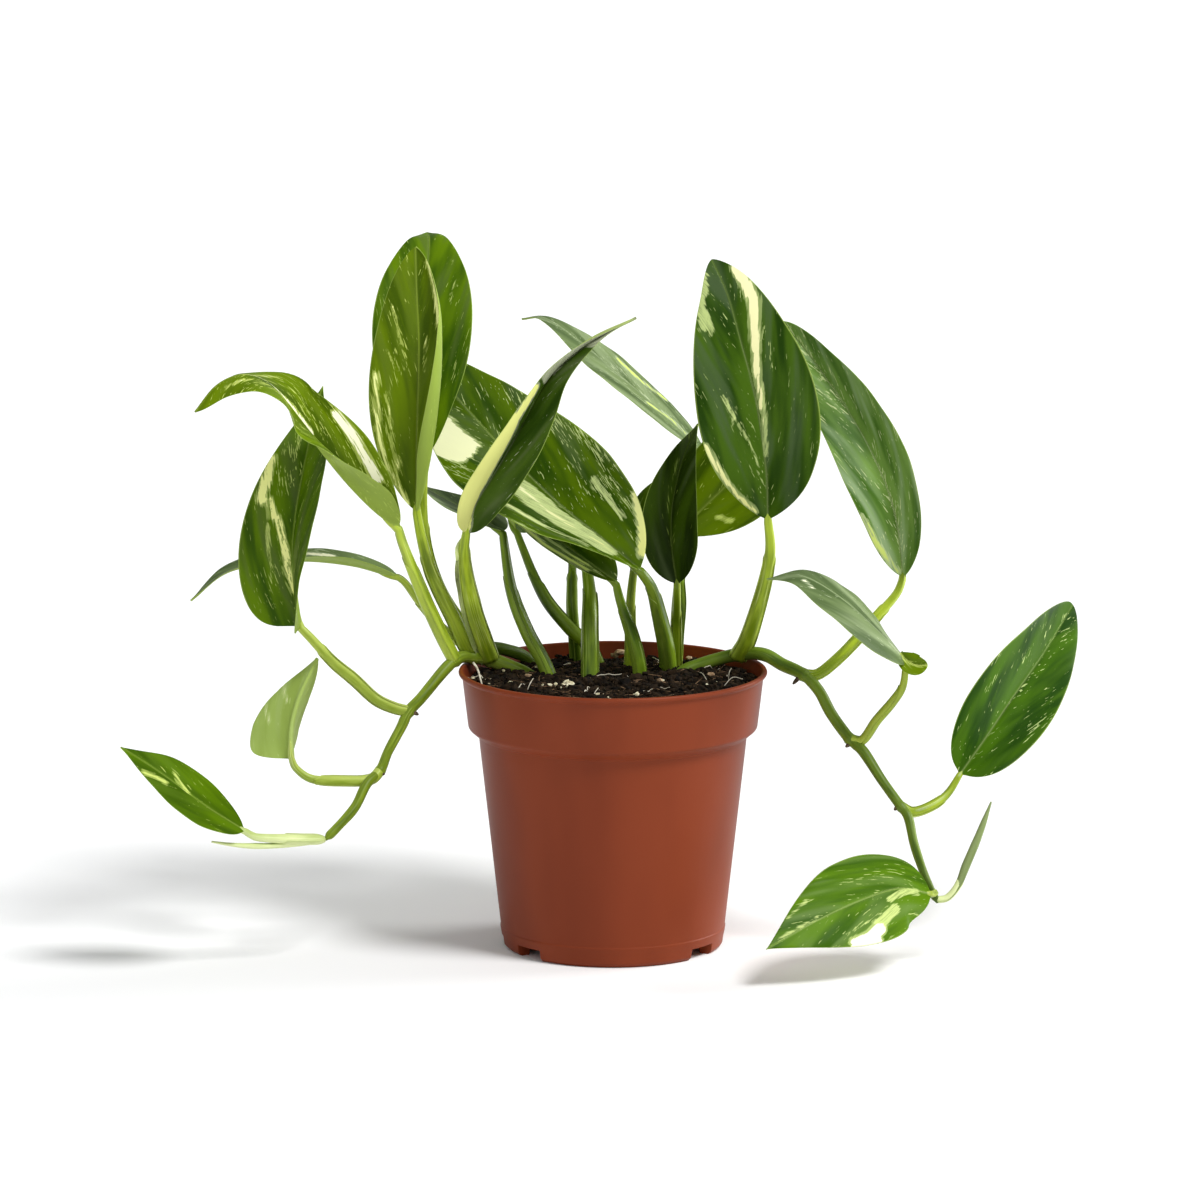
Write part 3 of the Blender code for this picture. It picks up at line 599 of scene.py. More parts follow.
def scatter(name, finish, count, small, large, seed, flat=0.75, near=0.0, lift=0.25, places=None):
    """Lumps on the soil: radius drawn between small and large, more of them small, each corner of a
    lump moved in or out by up to a third, and the whole lump turned and squeezed at random."""
    draw = np.random.default_rng(seed)
    reach = np.sqrt(draw.uniform((near / CRUMBS_REACH) ** 2, 1, count)) * CRUMBS_REACH
    turn = draw.uniform(0, 2 * pi, count)
    x, y = reach * np.cos(turn), reach * np.sin(turn)
    if places:
        x, y = np.array(places, dtype=float).T
    size = small + (large - small) * draw.uniform(0, 1, count) ** 2.5
    squeeze = draw.uniform(0.6, 1.0, (count, 1, 3)) * (1, 1, flat)
    corner = LUMP * (1 + draw.uniform(-0.33, 0.33, (count, 12, 1))) * squeeze * size[:, None, None]
    spin = draw.uniform(0, 2 * pi, count)
    c, s = np.cos(spin)[:, None], np.sin(spin)[:, None]
    u, v, w = np.moveaxis(corner, -1, 0)
    turned = np.stack([u * c - v * s, u * s + v * c, w], axis=-1)
    middle = np.stack([x, y, ground(x, y) + size * lift], axis=-1)
    points = (turned + middle[:, None]).reshape(-1, 3)
    faces = (LUMP_FACES + 12 * np.arange(count)[:, None, None]).reshape(-1, 3)
    return place(make_mesh(name, points, [faces], [finish], smooth=False), "soil")


scatter("soil_clods", PEAT, 260, 1.4, 3.6, 10, lift=0.1)
scatter("soil_crumbs", PEAT, 2600, 0.35, 2.1, 11)
scatter("soil_dust", PEAT, 2400, 0.2, 0.6, 12, lift=0.5)
scatter("perlite", PERLITE, 46, 0.35, 1.25, 13, near=14.0, lift=0.7)
scatter("perlite_cluster", PERLITE, 14, 0.8, 1.7, 14, lift=1.1,
        places=[(-22, -22), (-20, -24), (-18, -23), (-19, -27), (-16, -25), (-22, -27), (-17, -29),
                (-27, -24), (34, -22), (20, -40), (9, -44), (-6, -47), (36, -26), (-20, -30)])
scatter("bark_chips", BARK, 7, 1.8, 3.0, 15, flat=0.6, lift=1.2,
        places=[(1, 46), (3, 46), (18, -20), (-33, -4), (38, -6), (-14, 45), (30, 36)])
print("soil dressed")

# %% [markdown]
# ## Tubes along a curve
# Stems, stalks, roots and rolled leaves are all swept rings. The ring needs a front that does not
# spin as the curve bends, so the front of one ring is the front of its neighbour with the part along
# the curve taken out.

# %% Sweeping rings
def fronts(line, front):
    """Tangents of a line, and a front for each, carried back from the front given at its end."""
    tangent = unit(np.gradient(line, axis=0))
    carried = np.zeros_like(line)
    front = np.array(front, dtype=float)
    for i in range(len(line) - 1, -1, -1):
        front = unit(front - (front @ tangent[i]) * tangent[i])
        carried[i] = front
    return tangent, carried


def around(line, distance, turn, front, right):
    """Points at a distance from each place of the line, where turn runs from front to right."""
    direction = np.cos(turn)[..., None] * front[:, None] + np.sin(turn)[..., None] * right[:, None]
    return line[:, None] + distance[..., None] * direction


def sweep(line, radius, front=(0.0, -1.0, 0.0), sides=24, ring=np.ones_like):
    """A grid around a line. ring(turn) gives the section's distance as a factor of the radius; turn
    runs from the front round to the right and back."""
    tangent, front = fronts(line, front)
    turn = np.linspace(0, 2 * pi, sides, endpoint=False)
    return around(line, radius[:, None] * ring(turn), turn, front, np.cross(tangent, front))


def bark_layer(line, across, shift=0.0):
    """`across` around each ring and centimetres along the line; the two poles come last."""
    along = travelled(line)[:, None] / 10 + shift
    layer = np.stack(np.broadcast_arrays(across, along), axis=-1).reshape(-1, 2)
    return np.vstack([layer, layer[:1], layer[-1:]])


def swept_piece(name, slot, finish, line, radius, *stands_for, seed=0, sides=24, **how):
    """A tube along a line, put in place. The mark `side` is 1 where the tube looks sideways, where the
    skins paint a highlight, and the seed moves its pattern."""
    turn = np.linspace(0, 2 * pi, sides, endpoint=False)
    up_and_down = np.minimum(turn, 2 * pi - turn) * radius.max() / 10
    layer = bark_layer(line, up_and_down + 3.7 * seed, 1.9 * seed)
    side = np.append(np.tile(np.sin(turn) ** 2, len(line)), [0, 0])
    mesh = grid_mesh(name, sweep(line, radius, sides=sides, **how), [finish], uv={"bark": layer},
                     marks={"side": side})
    return place(mesh, slot, *stands_for)


# %% Roots and fibres
BENT_ROOTS = [      # places that a root passes on its way into the soil
    [(-53.8, -15, 114.3), (-52, -20, 112.5), (-50, -28, 107.0)],
    [(-30.6, -32, 111.5), (-32, -34.5, 109.5), (-33.8, -36.6, 105)],
    [(-5.7, -46, 110.5), (-7, -48, 109), (-8.6, -50, 105)],
    [(45.9, -4, 110), (45, -5, 108.5), (44.6, -5.5, 104)],
    [(33.4, 7.6, 106.3), (35, -4, 107.6), (37.2, -14.5, 105.5)],
    [(50, -18, 108.5), (46, -17, 108.9), (42, -19, 105)]]
LYING_ROOTS = [     # where it starts, its first heading, and the length of a step
    (-38, -30, 1.0, 0.55), (-11, -36, 1.1, 0.5), (44, -2, 1.4, 0.4), (-46, -6, 2.2, 0.6),
    (10, -33, 0.2, 0.5), (-8, 2, 0.4, 0.6), (34, 10, 0.9, 0.5), (-20, 30, 0.5, 0.7),
    (18, 34, 2.0, 0.7)]


def strands(name, finish, lines_and_radii, sides):
    """Thin round strands, all in one mesh."""
    points, faces = several_tubes(sweep(line, radius, front=(0.1, 0.1, 1.0), sides=sides)
                                  for line, radius in lines_and_radii)
    return place(make_mesh(name, points, faces, [finish]), "soil")


def young_roots():
    """A few roots that stand clear of the soil, and wandering ones that dip in and out of it."""
    fall = 1 - 0.5 * np.linspace(0, 1, 14) ** 2
    for k, places in enumerate(BENT_ROOTS):
        yield through(places, 14), (0.42 if k == 0 else 0.17) * fall
    for k, (x0, y0, towards, step) in enumerate(LYING_ROOTS):
        heading = towards + 0.6 * wander(np.linspace(0, 4, 26), 80 + k)
        x = x0 + np.cumsum(np.cos(heading)) * step
        y = y0 + np.cumsum(np.sin(heading)) * step
        z = ground(x, y) + 0.9 + 0.9 * wander(np.linspace(0, 5, 26), 90 + k)
        yield np.column_stack([x, y, z]), 0.20 * (1 - 0.6 * np.linspace(0, 1, 26) ** 2)


def fibres(count):
    """Straight-ish dark brown strands of a few millimetres, lying at random."""
    draw = np.random.default_rng(66)
    for _ in range(count):
        reach, turn = 54 * draw.uniform(0, 1) ** 0.5, draw.uniform(0, 2 * pi)
        heading, tilt, long = draw.uniform(0, 2 * pi), draw.uniform(-0.25, 0.35), draw.uniform(4, 13)
        t = np.linspace(-0.5, 0.5, 7)
        bend = draw.uniform(-1.2, 1.2) * (t ** 2 - 0.1) * long / 4
        x = reach * cos(turn) + t * long * cos(heading) - bend * sin(heading)
        y = reach * sin(turn) + t * long * sin(heading) + bend * cos(heading)
        inside = np.minimum(1, CRUMBS_REACH / np.maximum(np.hypot(x, y), 1e-6))
        x, y = x * inside, y * inside
        z = ground(x, y) + 0.5 + tilt * t * long * 0.6
        yield np.column_stack([x, y, z]), np.full(7, draw.uniform(0.10, 0.22))


strands("young_roots", ROOT, young_roots(), 7)
strands("peat_fibres", FIBRE, fibres(150), 5)
print("roots and fibres laid")

# %% [markdown]
# ## The plant's measurements
# Each blade is given by its midrib, its width, the way its upper side looks, and how far its two
# halves fold up and curl. The same numbers make the solid model, so the fine surfaces lie where the
# plain ones did.

# %% Blades, stalks and stems
def leaf(path, width, face, left, right=None, widest=0.42, ends=(0.75, 1.05)):
    """The midrib's way, the width, and the azimuth and elevation that the upper side faces at base and
    tip. Each half has its fold at base and tip and its curl at base and tip, in degrees; without a
    curl there are two numbers, and without a right half both are alike."""
    return dict(path=path, width=width, face=face, left=left, right=right or left, widest=widest,
                ends=ends)


BLADES = {
    # left of the pot
    "left_back_tall": leaf(
        [(-73, 20, 189), (-75, 22, 211), (-74.5, 28, 233), (-73.5, 34, 247), (-72.5, 44, 259),
         (-72, 56, 269), (-73, 66, 271)],
        39, ((0, 10), (0, 40)), (15, 5, -10, 0), (10, 0, -10, 0), widest=0.5, ends=(0.75, 0.75)),
    "left_front_tall": leaf(
        [(-76, 2, 171), (-75.5, -6, 200), (-74.5, -6, 235), (-75.5, 0, 259), (-76, 6, 273)],
        38, ((0, 0), (0, 20)), (0, 0), (8, 0, 265, 70), widest=0.48, ends=(0.75, 0.70)),
    "left_arching": leaf(
        [(-83, -5, 166), (-92, -10, 174), (-102, -18, 186), (-111, -26, 199), (-118, -34, 211),
         (-125, -41, 222), (-132.5, -49, 230), (-141, -56, 232.5), (-149.5, -61.5, 229),
         (-157, -66, 220)],
        38, ((57, 38), (-50, 45)), (90, -40), (82, -62), ends=(0.75, 0.7)),
    "left_upright": leaf(
        [(-121, -16, 129), (-123, -20, 152), (-121.5, -18, 174), (-117, -8, 198), (-112, 6, 219)],
        42, ((-10, 10), (-10, 20)), (5, 5), (86, 18), widest=0.27, ends=(0.5, 1.0)),
    "left_back_thin": leaf(
        [(-85, 22, 142), (-103, 26, 146), (-126, 28, 147), (-150, 26, 143), (-165, 22, 132)],
        16, ((0, 88), (0, 88)), (34, 8), widest=0.45, ends=(0.55, 1.0)),
    "left_pale": leaf(
        [(-124, -22, 78), (-124, -20, 89), (-121, -18, 101), (-114, -14, 116)],
        38, ((160, 10), (170, 10)), (115, 60), (0, 65), widest=0.20, ends=(0.75, 0.75)),
    "left_end": leaf(
        [(-141.5, -45, 55), (-155.5, -50, 65.5), (-171, -55, 78.5), (-187, -58, 90)],
        27, ((25, 50), (15, 50)), (15, 5), (-5, -5)),
    # middle of the pot
    "middle_large": leaf(
        [(10, -4, 149), (-5, 6, 160), (-21, 17, 171), (-40, 34, 187), (-60.5, 50, 207),
         (-83, 66, 230.5)],
        57, ((33, 37), (8, 18)), (34, -22), (48, -20), widest=0.38, ends=(0.80, 0.85)),
    "middle_low": leaf(
        [(1, 8, 142), (-21, 20, 156), (-40, 38, 168), (-54, 50, 178)],
        30, ((33, 37), (33, 37)), (25, 20)),
    "middle_folded": leaf(
        [(-56.5, -6, 164), (-53, -9, 175), (-47, -8, 185), (-38.5, -5, 199), (-32, -2, 211),
         (-23.5, 2, 225), (-9, 6, 237), (9, 10, 245)],
        26, ((20, 5), (10, 5)), (42, 115, -55, -50), (35, 65), widest=0.35),
    "back_thin": leaf(
        [(35, 46, 187), (21, 52, 200), (3, 60, 215), (-15, 68, 229), (-27, 74, 236), (-36, 80, 235)],
        30, ((68, 53), (0, 78)), (5, 5), (0, -5), widest=0.38),
    "middle_dark": leaf(
        [(25, 16, 140), (23, 14, 155), (23, 13, 171), (27, 16, 188), (33, 21, 202)],
        26, ((-5, 5), (-5, 15)), (25, 40), widest=0.38, ends=(0.9, 1.05)),
    "middle_behind": leaf(
        [(27, 40, 156), (36, 40, 166), (54, 38, 184), (70, 42, 200), (81, 48, 210)],
        38, ((-10, 15), (0, 15)), (10, 5)),
    "back_small": leaf(
        [(9, 26, 150), (14, 28, 162), (21, 29, 173), (29, 30, 184)],
        18, ((-10, 10), (-10, 10)), (10, 5), widest=0.45),
    "middle_grey": leaf(
        [(-43, 20, 160), (-54, 28, 165), (-66, 36, 170), (-75, 42, 174)],
        32, ((67, 56), (67, 56)), (5, 5)),
    "back_left": leaf(
        [(-38, 50, 155), (-43, 60, 163), (-47, 70, 166), (-50, 80, 162)],
        36, ((170, 50), (175, 70)), (15, 10)),
    "back_middle": leaf(
        [(-16, 49, 155), (-12, 58, 163), (-7, 68, 166), (-1, 79, 162)],
        34, ((180, 50), (180, 75)), (15, 10)),
    "back_right": leaf(
        [(-10.5, 38.5, 147.3), (-2, 47, 151), (9, 59, 151), (22, 72, 146)],
        30, ((160, 75), (150, 85)), (10, 10)),
    # right of the pot
    "right_tall": leaf(
        [(60, 6, 167), (59, -2, 188), (55, -6, 215), (49, -4, 238), (44, 2, 255), (38, 8, 268)],
        48, ((0, 5), (0, 15)), (15, 10, -10, 0), (20, 15, -20, 0), widest=0.43, ends=(0.9, 0.7)),
    "right_arching": leaf(
        [(113, 14, 143), (109, 10, 170), (98.5, 16, 195.5), (84, 28, 217.5), (70, 42, 234),
         (61, 50, 237.5)],
        32, ((-12, 5), (-12, 15)), (34, 30), widest=0.38, ends=(0.95, 0.85)),
    "right_drooping": leaf(
        [(113, -16, 115), (103, -22, 127), (87, -26, 142), (72, -24, 150), (59, -20, 148)],
        30, ((57, 56), (30, 65)), (-8, -8)),
    "right_upright": leaf(
        [(135, -6, 69), (144.5, 4, 80), (157, 22, 94), (170, 44, 107), (183, 70, 121.5)],
        36, ((-5, 10), (0, 15)), (25, 48), (20, -15), widest=0.36, ends=(0.6, 0.55)),
    "right_end": leaf(
        [(122, -39.5, 28.6), (110, -45, 32), (96, -54, 30), (79, -66, 25), (58, -78, 16)],
        37, ((25, 30), (25, 35)), (-5, 5), (-18, -5), widest=0.36),
}

# Each stalk: the way from where it grows to where its blade begins, and its radii on the way.
# The last word is what it grows from: the soil or a stem. The last one is the rolled leaf.
STALKS = {
    "left_back_tall": (
        [(-49, 26, 113.5), (-58, 21, 122), (-66, 19.5, 134), (-71, 18.5, 147), (-73.5, 19, 160),
         (-74, 20, 174), (-73, 20, 189)],
        (2.5, 2.2, 1.6), "stem_back_left"),
    "left_front_tall": (
        [(-55, 13, 111.5), (-58, 11.5, 117), (-62, 9, 127), (-66.5, 6, 137), (-71, 3.5, 148),
         (-74, 2, 160), (-76, 2, 171)],
        (2.9, 2.6, 1.7), "stem_left"),
    "left_arching": (
        [(-61.5, 6.5, 111.5), (-66, 3, 121), (-71.5, -1, 134), (-76.5, -4, 147), (-81, -5, 159),
         (-83, -5, 166)],
        (2.7, 2.5, 1.8), "stem_left"),
    "left_upright": (
        [(-79, -9, 94), (-85, -11, 96), (-92, -13, 100), (-100, -15, 108), (-108, -16, 115),
         (-116, -17, 124), (-121, -16, 129)],
        (2.0, 2.2, 1.6), "stem_left"),
    "left_back_thin": (
        [(-57, 20, 114), (-66, 20, 121), (-75, 21, 131), (-81, 22, 139), (-85, 22, 142)],
        (2.0, 1.8, 1.4), "stem_back_left"),
    "left_pale": (
        [(-90, -16, 72), (-94, -19, 69), (-105, -21, 69), (-116, -22, 70), (-122, -22, 74),
         (-124, -22, 78)],
        (1.9, 1.9, 1.3), "stem_left"),
    "left_end": (
        [(-110.5, -37, 49.5), (-120, -39, 50), (-135, -43, 51.5), (-139, -44, 53), (-141.5, -45, 55)],
        (1.9, 1.9, 1.3), "stem_left"),
    "middle_large": (
        [(22, 25, 98), (22, 24, 104), (21, 18, 114), (18, 8, 129), (15, 0, 141), (10, -4, 149)],
        (3.6, 3.0, 1.8), "soil"),
    "middle_low": (
        [(11, 8, 98), (10, 8, 110), (7, 8, 122), (3, 8, 134), (1, 8, 142)],
        (2.5, 2.4, 1.5), "soil"),
    "middle_folded": (
        [(-48, 15.5, 110), (-50.5, 12, 118), (-54.5, 5, 132), (-57, 0, 146), (-57.5, -4, 156),
         (-56.5, -6, 164)],
        (3.7, 3.3, 1.6), "stem_left"),
    "back_thin": (
        [(25, 43, 98), (25, 44.5, 110), (25, 44, 122), (27, 43.5, 140), (32, 44, 156), (34, 45, 172),
         (35, 46, 187)],
        (1.9, 1.8, 1.3), "soil"),
    "middle_dark": (
        [(25, 33, 98), (25, 30, 108), (25, 24, 120), (25, 18, 132), (25, 16, 140)],
        (2.2, 1.8, 1.4), "soil"),
    "middle_behind": (
        [(25, 38, 98), (26, 37.5, 115), (27, 37, 129), (26, 38, 144), (26.8, 39.8, 155.8)],
        (2.0, 1.8, 1.4), "soil"),
    "back_small": (
        [(6, 25, 98), (7, 25, 112), (7, 26, 131), (9, 26, 150)],
        (2.2, 2.0, 1.4), "soil"),
    "middle_grey": (
        [(-22, 8, 98), (-24, 8, 103), (-27.5, 10, 111), (-33.5, 12, 122), (-39.5, 15, 138),
         (-43, 20, 160)],
        (2.8, 2.6, 1.6), "soil"),
    "back_left": (
        [(-4, 37, 98), (-9, 34, 111), (-17, 34, 119), (-25.5, 36, 129), (-31, 40, 139), (-35, 45, 148),
         (-38, 50, 155)],
        (2.8, 2.4, 1.5), "soil"),
    "back_middle": (
        [(-14, 46, 98), (-15, 44, 112), (-16, 42, 125), (-16, 44, 140), (-16, 49, 155)],
        (2.4, 2.1, 1.4), "soil"),
    "back_right": (
        [(-9, 6, 98), (-9, 9, 110), (-9, 14, 122), (-9, 22, 134), (-10, 30, 142), (-11, 38, 147)],
        (3.3, 3.0, 1.8), "soil"),
    "right_tall": (
        [(49, 20, 110), (53, 15, 119), (58.5, 10, 139), (61, 8, 154), (60, 6, 167)],
        (3.5, 2.7, 1.6), "stem_right"),
    "right_arching": (
        [(74, 4, 106), (80, 5, 106), (88, 7, 112), (96, 9, 120), (104, 11, 129), (110.5, 13, 136.5),
         (113, 13.8, 142.8)],
        (2.0, 2.1, 1.5), "stem_right"),
    "right_drooping": (
        [(92, -4, 82), (97, -6, 82), (102, -9, 90), (108, -12, 98), (112, -14, 105), (113, -16, 115)],
        (1.9, 1.9, 1.3), "stem_right"),
    "right_upright": (
        [(111, -20, 59), (116, -18, 56), (124, -14, 58), (130, -10, 62), (135, -6, 69)],
        (1.8, 1.8, 1.2), "stem_right"),
    "right_end": (
        [(124, -34.5, 28), (123, -37, 28), (122, -39.5, 28.6)],
        (1.4, 1.3, 1.2), "stem_right"),
    "right_rolled": (
        [(124.8, -34, 25), (129, -34, 26), (133, -34, 31), (136, -32, 38), (141, -28, 49),
         (146, -22, 61)],
        (1.3, 1.6, 2.1, 2.0, 1.5, 0.4), "stem_right"),
}

# Each stem: its way out of the soil, over the rim and down, and its radii on the way.
STEMS = {
    "stem_left": (
        [(-28, 13, 98), (-34, 15, 104), (-41, 16, 107), (-49, 16, 110), (-56, 11, 111.8),
         (-60, 8, 111.8), (-65, 3, 108.5), (-74, -6, 99), (-79, -9, 94), (-82, -11, 88),
         (-87, -14, 79), (-90, -16, 72), (-95, -22, 68), (-99.5, -28, 60), (-106.5, -34, 53),
         (-110.5, -37, 49.5)],
        (3.2, 2.6, 2.1, 1.9, 1.8)),
    "stem_right": (
        [(23, 17, 98), (28, 20, 104), (36, 22, 107), (46, 22, 110), (54, 17, 112), (60, 12, 112),
         (66, 9, 109), (74, 4, 106), (80, 2, 100), (85, 0, 91), (92, -4, 82), (97, -8, 78),
         (104, -14, 68), (111, -20, 59), (114, -23, 55), (116, -28, 46), (119, -31, 37),
         (122, -34, 30), (125, -34.5, 24)],
        (2.7, 2.6, 2.2, 1.9, 1.5)),
    "stem_back_left": (
        [(-28, 38, 98), (-34, 38, 106), (-42, 32, 110.5), (-50, 25, 113), (-57, 20, 114)],
        (2.4, 2.4, 2.2)),
}

# The empty sheath at the end of the left stem; its first two places lie along the last stalk.
LAST_SHEATH = ([(-112, -37.5, 49.0), (-120, -39.2, 48.6), (-129, -41, 48), (-139, -44, 48.5),
                (-146.5, -46, 49.5), (-153.5, -48, 51)], (1.0, 1.3, 1.1, 1.2, 0.8, 0.35))

print("blades:", len(BLADES), "stalks:", len(STALKS), "stems:", len(STEMS))

# %% [markdown]
# Where the cream and the grey-green lie on each blade. A place on a blade is (s, r) in percent: s runs
# from 0 at the base to 100 at the tip, r from -100 at the left margin to 100 at the right one. A patch
# is a stroke through such places; its half width in millimetres comes first, and a negative one only
# lets the frayed edge show. The greens differ too: shaded old leaves are nearly black, partly in their
# own colour and partly as painted shade, and young ones are lime.

# %% Colours of the blades
TONES = {       # green, colour of the splashes, density of the flecks
    "left_back_tall": ("vivid", "lime", 0.2), "left_front_tall": ("fresh", "lemon", 0.15),
    "left_arching": ("fresh", "cream", 0.45), "left_upright": ("vivid", "butter", 0.3),
    "left_back_thin": ("grey", "cream", 0.3), "left_pale": ("sage", "cream", 0.2),
    "left_end": ("lime", "lime", 0.12), "middle_large": ("middle", "cream", 0.32),
    "middle_low": ("middle", "lime", 0.4), "middle_folded": ("dusk", "straw", 0.10),
    "back_thin": ("grey", "lime", 0.4), "middle_dark": ("night", "lime", 0.0),
    "middle_behind": ("fresh", "lime", 0.2), "back_small": ("middle", "lime", 0.2),
    "middle_grey": ("grey", "cream", 0.2), "back_left": ("middle", "cream", 0.4),
    "back_middle": ("dark", "cream", 0.4), "back_right": ("middle", "cream", 0.3),
    "right_tall": ("dark", "ivory", 0.12), "right_arching": ("jade", "lime", 0.35),
    "right_drooping": ("grey", "cream", 0.2), "right_upright": ("deep", "lime", 0.18),
    "right_end": ("grass", "cream", 0.25),
}
PATCHES = {
    "left_back_tall": [(-0.6, (70, 77), (66, 62)), (-0.8, (57, 73), (54, 62))],
    "left_front_tall": [(0.9, (93, 98), (85, 78), (74, 64), (60, 54)), (-0.1, (66, 16), (54, 12)),
                        (-0.1, (78, -70), (64, -40)), (-0.3, (62, -73), (52, -33)),
                        (0.7, (52, -87), (46, -87), (30, -87), (21, -90), (3, -100)),
                        (-0.2, (45, -62), (33, -55)), (-0.2, (30, -62), (18, -55))],
    "left_arching": [(1.5, (40, 85), (31, 75), (16, 62)), (0.7, (80, 10), (62, 0), (45, 5)),
                     (0.1, (92, 70), (62, 75)), (-0.2, (88, -40), (60, -30))],
    "left_upright": [(1.8, (66, -100), (59, -83), (50, -77)), (1.3, (50, -60), (44, -42)),
                     (0.8, (44, -36), (33, -16), (28, -12), (15, 0)), (-0.3, (80, -45), (72, -30))],
    "left_back_thin": [(0.2, (55, 60), (30, 40))],
    "left_pale": [(0.2, (65, 100), (52, 37)), (0.1, (44, 100), (31, 63))],
    "left_end": [(0.5, (79, -73), (72, -40), (64, -33)), (0.5, (59, 30), (46, 0))],
    "middle_large": [(3.6, (71, -58), (61, -42), (60, -62), (67, -90)), (3.4, (70, -70), (63, -54)),
                     (2.6, (52, -30), (44, -28)), (0.6, (44, -30), (28, -28), (8, -30)),
                     (-0.2, (42, -75), (15, -75)), (1.9, (14, 100), (7, 93), (2, 80)),
                     (-0.5, (62, 75), (35, 70)), (-0.4, (58, 92), (28, 94)),
                     (-0.5, (45, 55), (25, 50))],
    "middle_low": [(1.1, (55, -88), (35, -82), (14, -72)), (0.0, (40, -40), (15, -30))],
    "middle_folded": [(5.5, (2, -100), (40, -100)), (1.6, (40, -80), (56, -90))],
    "back_thin": [(0.7, (55, 70), (42, 63), (29, 87)), (0.3, (30, -20), (18, 10), (5, 20))],
    "middle_behind": [(0.2, (19, 43), (23, 73))],
    "back_left": [(2.0, (70, 70), (30, 20))],
    "back_middle": [(1.5, (80, -50), (30, -60))],
    "back_right": [(1.5, (70, 50), (20, 60))],
    "right_tall": [(1.9, (93, 100), (81, 67), (64, 23)), (1.2, (64, 23), (56, 13)),
                   (0.7, (56, 13), (44, 7)), (0.2, (44, 7), (30, 4)),
                   (0.9, (34, -97), (24, -93), (12, -88), (4, -80)), (0.0, (50, -48), (42, -40)),
                   (-0.3, (40, -35), (22, -14))],
    "right_arching": [(0.6, (24, -93), (12, -85), (2, -57))],
    "right_drooping": [(0.3, (77, -33), (72, -37))],
    "right_end": [(2.4, (39, -70), (47, -85), (57, -95)), (1.8, (43, -92), (55, -98))],
}
PALE_GREENS = {
    "left_front_tall": [(-0.3, (62, -50), (35, -70), (10, -70))],
    "left_arching": [(0.1, (95, 20), (55, 50)), (-0.1, (90, -50), (50, -50))],
    "left_upright": [(0.2, (40, -50), (20, -40)), (0.3, (62, -60), (50, -45))],
    "middle_large": [(5.5, (46, -30), (10, -35)), (1.0, (42, -80), (12, -75)),
                     (1.0, (28, 62), (13, 55)), (-0.5, (90, -70), (75, -50))],
    "middle_folded": [(6.0, (64, -70), (100, -40)), (3.0, (82, 50), (100, 30)),
                      (1.0, (64, 10), (82, 20)), (0.3, (50, -10), (64, 0))],
    "right_drooping": [(0.8, (0, 0), (16, 0))],
    "right_lobe": [(0.6, (0, 0), (100, 0))],
    "middle_low": [(-0.2, (30, -60), (10, -30))],
    "back_thin": [(-0.3, (90, 0), (20, 10))],
    "right_tall": [(1.9, (95, -100), (86, -95), (76, -80)), (0.7, (82, -72), (73, -60)),
                   (0.9, (52, 15), (26, 3)), (0.9, (51, -52), (42, -40)),
                   (0.1, (46, -36), (30, -22), (14, -8)), (0.1, (42, -50), (28, -34), (14, -16))],
    "right_arching": [(-0.3, (95, -50), (70, -60)), (-0.7, (70, -30), (40, -40))],
    "right_upright": [(-0.9, (30, -60), (80, -60)), (-0.3, (93, -10), (72, -8))],
    # right_end: its last stroke is a painted sheen, grey painted reflection over the right half near
    # the base
    "right_end": [(0.5, (68, 70), (82, 88)), (0.5, (68, 8), (92, 33)), (1.5, (8, -5), (26, -20)),
                  (2.2, (24, -42), (38, -62)), (-0.6, (15, 35), (45, 35))],
    "middle_dark": [(-0.3, (5, 0), (50, 25)), (-0.3, (10, -10), (75, -40))],
    "left_end": [(-0.4, (85, 30), (30, 30))],
}
SPECKLES = {            # where the flecks are sown thickest
    "middle_large": [(4.0, (66, 95), (45, 90), (25, 90)), (3.0, (30, 75), (10, 80)),
                     (3.0, (60, -80), (42, -85))],
    "left_front_tall": [(1.5, (75, -50), (55, -30)), (2.5, (45, -70), (10, -70))],
    "left_upright": [(3.0, (75, -50), (55, -30))],
    "left_arching": [(2.0, (60, 30), (30, 40))],
    "right_tall": [(2.5, (85, 60), (55, 45)), (2.0, (50, -35), (15, -15))],
    "right_arching": [(4.0, (95, 20), (60, -10)), (3.0, (40, 0), (10, 0))],
    "right_upright": [(2.0, (85, 25), (60, 20)), (1.5, (55, 80), (25, 85)),
                      (1.0, (80, -40), (35, -50))],
    "right_end": [(3.0, (45, 50), (20, 50)), (2.0, (60, -60), (30, -40))],
    "middle_low": [(2.0, (50, -60), (10, -50))],
    "back_thin": [(2.0, (50, 30), (20, 20))],
}
# How ragged the edges of the patches are, where that isn't 1, and how yellow cream is at the base.
RAGGED = {"right_tall": 0.55, "right_end": 0.5, "middle_large": 0.75, "middle_folded": 0.4,
          "left_arching": 0.8}
RIPE = {"middle_large": 1.0, "right_tall": 0.8, "left_upright": 0.1}
print("patches:", sum(len(strokes) for strokes in PATCHES.values()))

# %% [markdown]
# A blade is one closed skin a little over half a millimetre thick: the grid runs across the upper side
# and back across the lower side, so the margin is a true thin edge. The midrib is a groove above and
# a ridge below, side veins quilt the surface faintly, and the margin waves a little.


# %% How a blade is laid out
MIDRIB_STATIONS = 241
THICKNESS, MARGIN_WAVE, CHANNEL_DEPTH = 0.52, 0.55, 0.30
VEIN_SPACING, QUILT_HEIGHT = 14, 0.03


def half_width(shape, s):
    """Half the width at s: a sine whose peak is moved to `widest`, drawn out towards the tip."""
    bend = np.log(0.5) / np.log(shape["widest"])
    base, tip = shape["ends"]
    return shape["width"] / 2 * np.sin(pi * np.clip(s, 0.0, 1.0) ** bend) ** (base + (tip - base) * s)


def reach_of(shape, s):
    """Half the width of the fine blade, with a narrow foot where the curve starts from nothing."""
    return np.maximum(half_width(shape, s), 1.3 * (1 - 0.9 * s))


